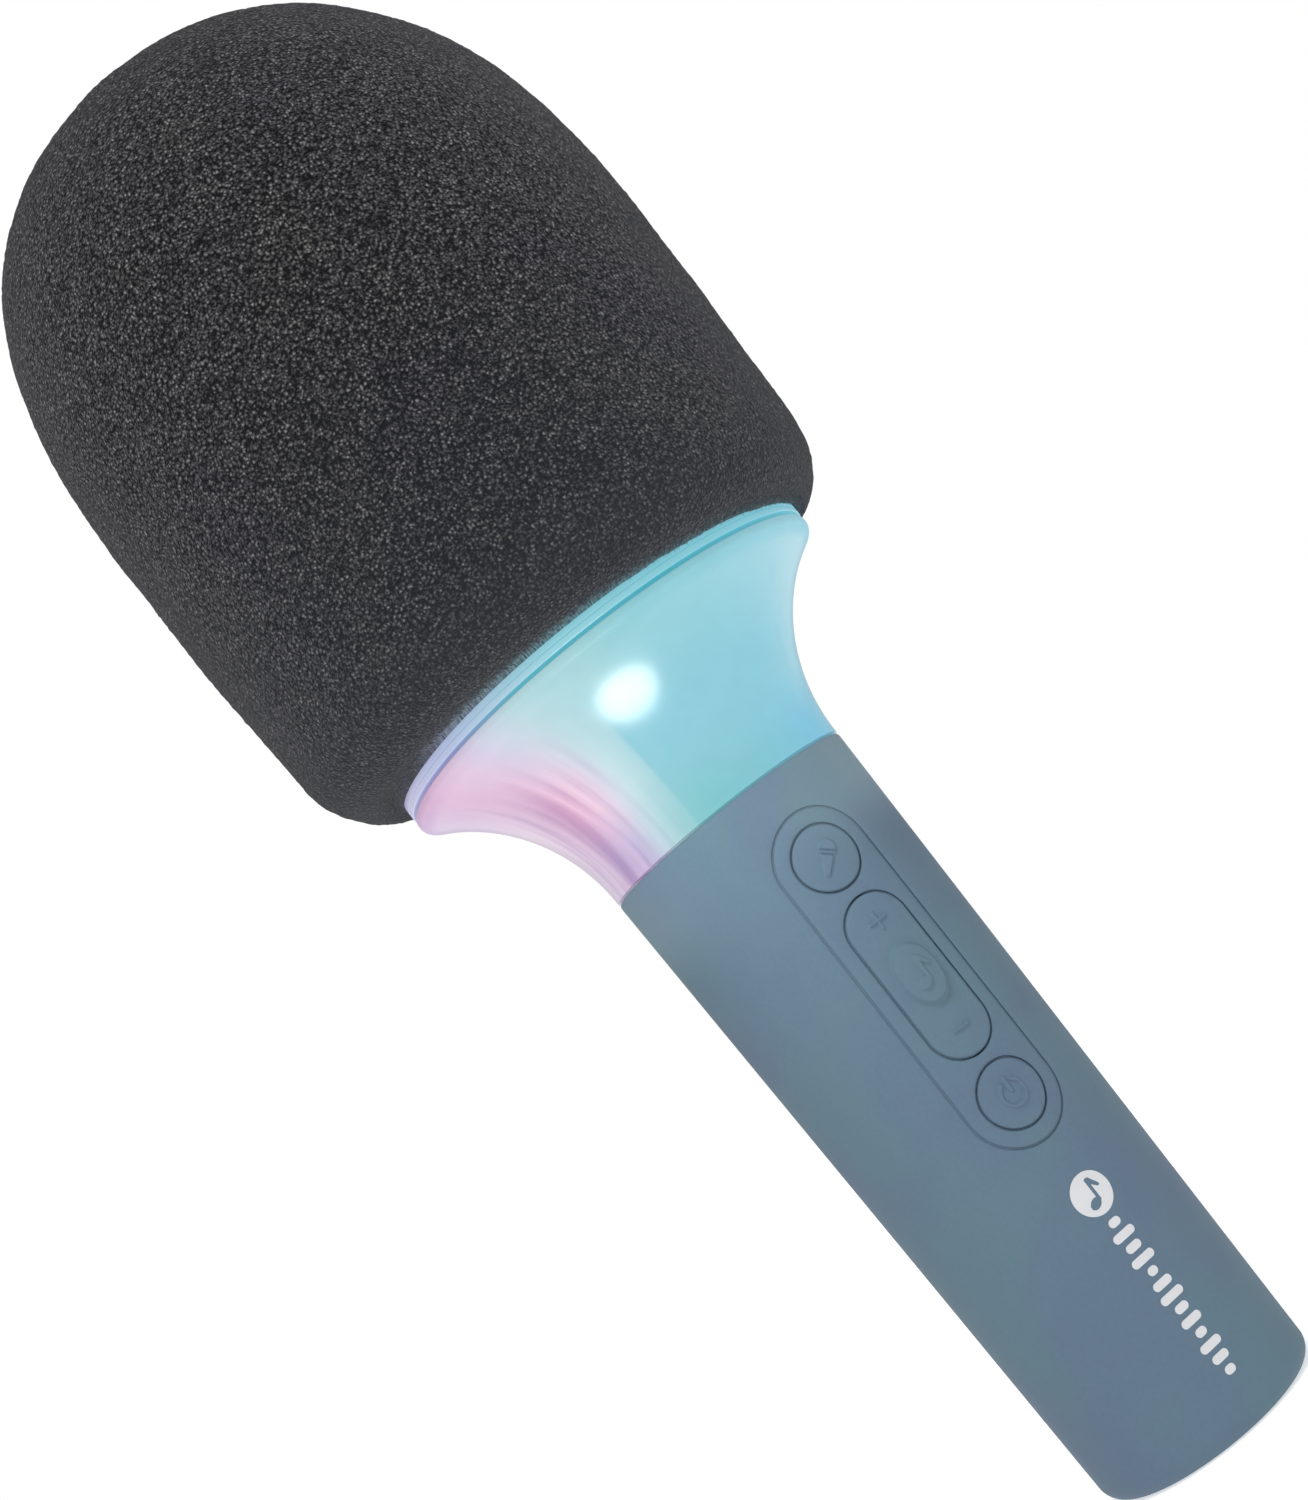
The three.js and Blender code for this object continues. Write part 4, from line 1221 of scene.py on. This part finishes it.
def make_key(name, node, length, center_z, signs, material, bump=None, pips=(), skirt=0.0):
    """A key's cap with a rounded edge, raised signs and a skirt round its side, and its flange and pips."""
    count = 260 if length < 10 * MM else 460
    edge = 0.32 * MM
    width = 2 * KEY_R

    def height(x, z):
        h = KEY_PROUD
        if bump:
            h += bump(x, z)
        for sign, sign_x, sign_z in signs:
            h += raised(sign((x - sign_x) / MM, (z - sign_z) / MM))
        return h

    skin = Skin()
    loops = []
    for turn in np.linspace(0, math.pi / 2, 7):
        loop = stadium(width, length, center_z, count, edge * (1 - math.cos(turn)))
        loops.append([on_handle(x, z, KEY_PROUD - edge * (1 - math.sin(turn))) for x, z in loop])
    top = stadium(width, length, center_z, count, edge)
    loops[-1] = [on_handle(x, z, height(x, z)) for x, z in top]
    for low, high in zip(loops, loops[1:]):
        skin.wall(low, high)
    half = length / 2
    spots = [
        p
        for p in lattice((-KEY_R, KEY_R), (center_z - half, center_z + half), 0.115 * MM)
        if inside_stadium(*p, width, length, center_z) > edge + 0.08 * MM
    ]
    found, kept = sheet(top, (), spots)
    skin.add([on_handle(x, z, height(x, z)) for x, z in found], kept)
    flange_y = KEY_FLANGE_DEPTH - handle_radius(center_z)
    rim = stadium(width, length, center_z, count, -KEY_FLANGE_MARGIN)
    down = [(x, flange_y, z) for x, z in stadium(width, length, center_z, count)]
    out = [(x, flange_y, z) for x, z in rim]
    back_y = flange_y + KEY_FLANGE_THICKNESS
    side = loops[0]
    if skirt:
        edge_xz = stadium(width, length, center_z, count)
        skirt_xz = stadium(width, length, center_z, count, -skirt)
        steps = [(edge_xz, SKIRT_TOP), (skirt_xz, SKIRT_TOP), (skirt_xz, SKIRT_LOW), (edge_xz, SKIRT_LOW)]
        for xz, depth in steps:
            below = wrapped(xz, depth)
            skin.wall(side, below)
            side = below
    skin.wall(side, down)
    skin.wall(down, out)
    skin.wall(out, [(x, back_y, z) for x, z in rim])
    pip_loops = [disc_edge(PIP_R, pip_z, 32) for pip_z, _ in pips]
    found, kept = sheet(rim, pip_loops)
    skin.add([(x, back_y, z) for x, z in found], kept)
    for loop, (_, pip_y) in zip(pip_loops, pips):
        skin.wall([(x, back_y, z) for x, z in loop], [(x, pip_y, z) for x, z in loop])
        found, kept = sheet(loop)
        skin.add([(x, pip_y, z) for x, z in found], kept)
    made = merged(name, skin, material, 40)
    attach(made, node)
    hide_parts(node)
    return made


def mode_bump(x, z):
    """The raised oval in the middle of the volume key."""
    u = x / (3.25 * MM)
    v = (z - PANEL_Z) / (4.75 * MM)
    t = (abs(u) ** 2.2 + abs(v) ** 2.2) ** (1 / 2.2)
    return (0.7 * smooth((1 - t) / 0.18) + 0.25 * max(0.0, 1 - t * t)) * MM


def make_round_key(name, node, center_z, sign, material):
    signs = [(sign, 0, center_z)]
    return make_key(name, node, 2 * KEY_R, center_z, signs, material, pips=[(center_z, ROUND_PIP_Y)])


def make_keys(material):
    voice = make_round_key("voice_key", "voice_button", PANEL_Z + KEY_PITCH, microphone_sign, material)
    power = make_round_key("power_key", "power_button", PANEL_Z - KEY_PITCH, power_sign, material)
    signs = [
        (plus_sign, 0, PANEL_Z + ROCKER_SIGN_OFFSET),
        (note_sign, 0, PANEL_Z),
        (minus_sign, 0, PANEL_Z - ROCKER_SIGN_OFFSET),
    ]
    pips = [(PANEL_Z + side * ROCKER_PIP_OFFSET, ROCKER_PIP_Y) for side in (-1, 1)]
    node, length = "volume_mode_key", ROCKER_LENGTH
    volume = make_key("volume_key", node, length, PANEL_Z, signs, material, mode_bump, pips, 0.1 * MM)
    return [voice, power, volume]


# ---- Print: a generic badge and a row of sound bars ----
def capsule(center, half_x, half_z, steps=14):
    """A rounded bar's outline in the front view."""
    cx, cz = center
    r = min(half_x, half_z)
    loop = []
    for k in range(4 * steps):
        angle = TAU * k / (4 * steps)
        x, z = r * math.cos(angle), r * math.sin(angle)
        x += math.copysign(half_x - r, x) if abs(x) > 1e-12 else 0
        z += math.copysign(half_z - r, z) if abs(z) > 1e-12 else 0
        loop.append((cx + x, cz + z))
    return loop


def add_ink(skin, found, kept):
    """A thin layer of ink over these flat triangles."""
    top, low = 0.02 * MM, -0.05 * MM
    skin.add(wrapped(found, top), kept)
    skin.add(wrapped(found, low), [tuple(reversed(f)) for f in kept])
    for a, b in rim_edges(kept):
        side = wrapped([found[a], found[b]], top) + wrapped([found[b], found[a]], low)
        skin.add(side, [(0, 3, 2, 1)])


BADGE_Z = 34.9 * MM
BADGE_R = 2.95 * MM
BADGE_NOTE = 1.12  # how much smaller the badge's note is than the volume key's
BAR_TOP_Z = 30.4 * MM
BAR_PITCH = 1.9 * MM
BAR_HALF_HEIGHT = 0.58 * MM
BAR_REACH = [0.9, 1.75, 1.2, 1.85, 0.75, 1.5, 1.85, 1.05, 1.6, 0.85, 1.7, 1.3, 0.8]


def make_print(material):
    """A generic badge, a disc with a note cut out of it, over a row of sound bars."""
    skin = Skin()
    spots = [
        (x, z)
        for x, z in lattice((-BADGE_R, BADGE_R), (BADGE_Z - BADGE_R, BADGE_Z + BADGE_R), 0.09 * MM)
        if math.hypot(x, z - BADGE_Z) < BADGE_R - 0.07 * MM
    ]
    found, kept = sheet(disc_edge(BADGE_R, BADGE_Z, 64), (), spots)

    def in_note(face):
        x, z = (sum(found[i][k] for i in face) / 3 for k in (0, 1))
        return note_sign(x / MM * BADGE_NOTE, (z - BADGE_Z) / MM * BADGE_NOTE) <= 0

    add_ink(skin, found, [f for f in kept if not in_note(f)])
    for i, half in enumerate(BAR_REACH):
        add_ink(skin, *sheet(capsule((0, BAR_TOP_Z - BAR_PITCH * i), half * MM, BAR_HALF_HEIGHT)))
    made = merged("front_print", skin, material, 40)
    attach(made, "housing")


# ---- Stage ----
STUDIO_LIGHT = 0.53  # of the world on the object, which the camera sees as white
NECK_SPILL = (-30 * MM, -50 * MM, 120 * MM)


def make_stage():
    mesh = bpy.data.meshes.new("floor")
    half = 3.0
    corners = [(-half, -half, 0), (half, -half, 0), (half, half, 0), (-half, half, 0)]
    mesh.from_pydata(corners, [], [(0, 1, 2, 3)])
    floor = bpy.data.objects.new("floor", mesh)
    bpy.context.scene.collection.objects.link(floor)
    m = Nodes("floor")
    m.set(Base_Color=(0.85, 0.85, 0.85, 1), Roughness=1.0)
    m.set(Emission_Color=(1, 1, 1, 1), Emission_Strength=0.55)
    mesh.materials.append(m.material)
    world = bpy.data.worlds.new("studio")
    world.use_nodes = True
    tree = world.node_tree
    background = tree.nodes["Background"]
    background.inputs["Color"].default_value = (1, 1, 1, 1)
    path = tree.nodes.new("ShaderNodeLightPath")
    strength = tree.nodes.new("ShaderNodeMath")
    strength.operation = "MULTIPLY_ADD"
    strength.inputs[1].default_value = 1 - STUDIO_LIGHT
    strength.inputs[2].default_value = STUDIO_LIGHT
    tree.links.new(path.outputs["Is Camera Ray"], strength.inputs[0])
    tree.links.new(strength.outputs[0], background.inputs["Strength"])
    bpy.context.scene.world = world


def make_lamp(name, place, target, size, power, shape="RECTANGLE"):
    data = bpy.data.lights.new(name, "AREA")
    data.shape = shape
    data.size, data.size_y = size
    data.energy = power
    lamp = bpy.data.objects.new(name, data)
    bpy.context.scene.collection.objects.link(lamp)
    place = Vector(place)
    lamp.location = place
    lamp.rotation_euler = (Vector(target) - place).to_track_quat("-Z", "Y").to_euler()
    lamp.visible_camera = False
    return lamp


def link_light(lamp, pieces):
    """The lamp lights only these pieces."""
    lit = bpy.data.collections.new(lamp.name + "_lights_these")
    for made in pieces:
        lit.objects.link(made)
    lamp.light_linking.receiver_collection = lit


def make_lights(glossy, matte):
    key = make_lamp("key", (-0.45, -0.9, 1.3), (0, 0, 120 * MM), (0.8, 0.8), 13)
    key.visible_glossy = False
    # The lit neck's spill on the handle below it.
    spill = make_lamp("spill", NECK_SPILL, (0, -10 * MM, 88 * MM), (24 * MM, 24 * MM), 0.013)
    spill.visible_glossy = False
    link_light(spill, matte)
    # A small softbox that shows as a white patch on the neck, where its mirror image falls.
    spot_z = 120.9 * MM
    rise = spot_z - FLARE_START_Z
    reach = math.sqrt(FLARE_R**2 - rise**2)
    azimuth = VIEW_AZIMUTH + math.radians(-0.5)
    outward = Vector((math.sin(azimuth), -math.cos(azimuth), 0))
    spot = outward * (FLARE_CENTER[0] - reach) + Vector((0, 0, spot_z))
    normal = (outward * reach - Vector((0, 0, rise))) / FLARE_R
    to_camera = (bpy.context.scene.camera.matrix_world.translation - spot).normalized()
    mirror = 2 * normal.dot(to_camera) * normal - to_camera
    softbox = make_lamp("softbox", spot + 100 * MM * mirror, spot, (55 * MM, 45 * MM), 0.16, "ELLIPSE")
    softbox.visible_diffuse = False
    softbox.visible_transmission = False
    link_light(softbox, glossy)


# ---- Everything ----
make_camera()
materials = make_materials()
for row in frame["record"]["subparts"]:
    node = frame["nodes"][row["node"]]
    node.data.materials.clear()
    node.data.materials.append(materials[row["material_slot"]])
make_foam(materials["foam"])
neck = make_neck(materials["neck"])
ring = make_ring(materials["ring"])
sleeve = make_sleeve(materials["soft_touch"])
panel = make_panel(materials["soft_touch_key"])
keys = make_keys(materials["soft_touch_key"])
make_print(materials["print"])
make_stage()
make_lights([neck, ring], [sleeve, panel, *keys])
bpy.context.scene.view_settings.view_transform = "Standard"
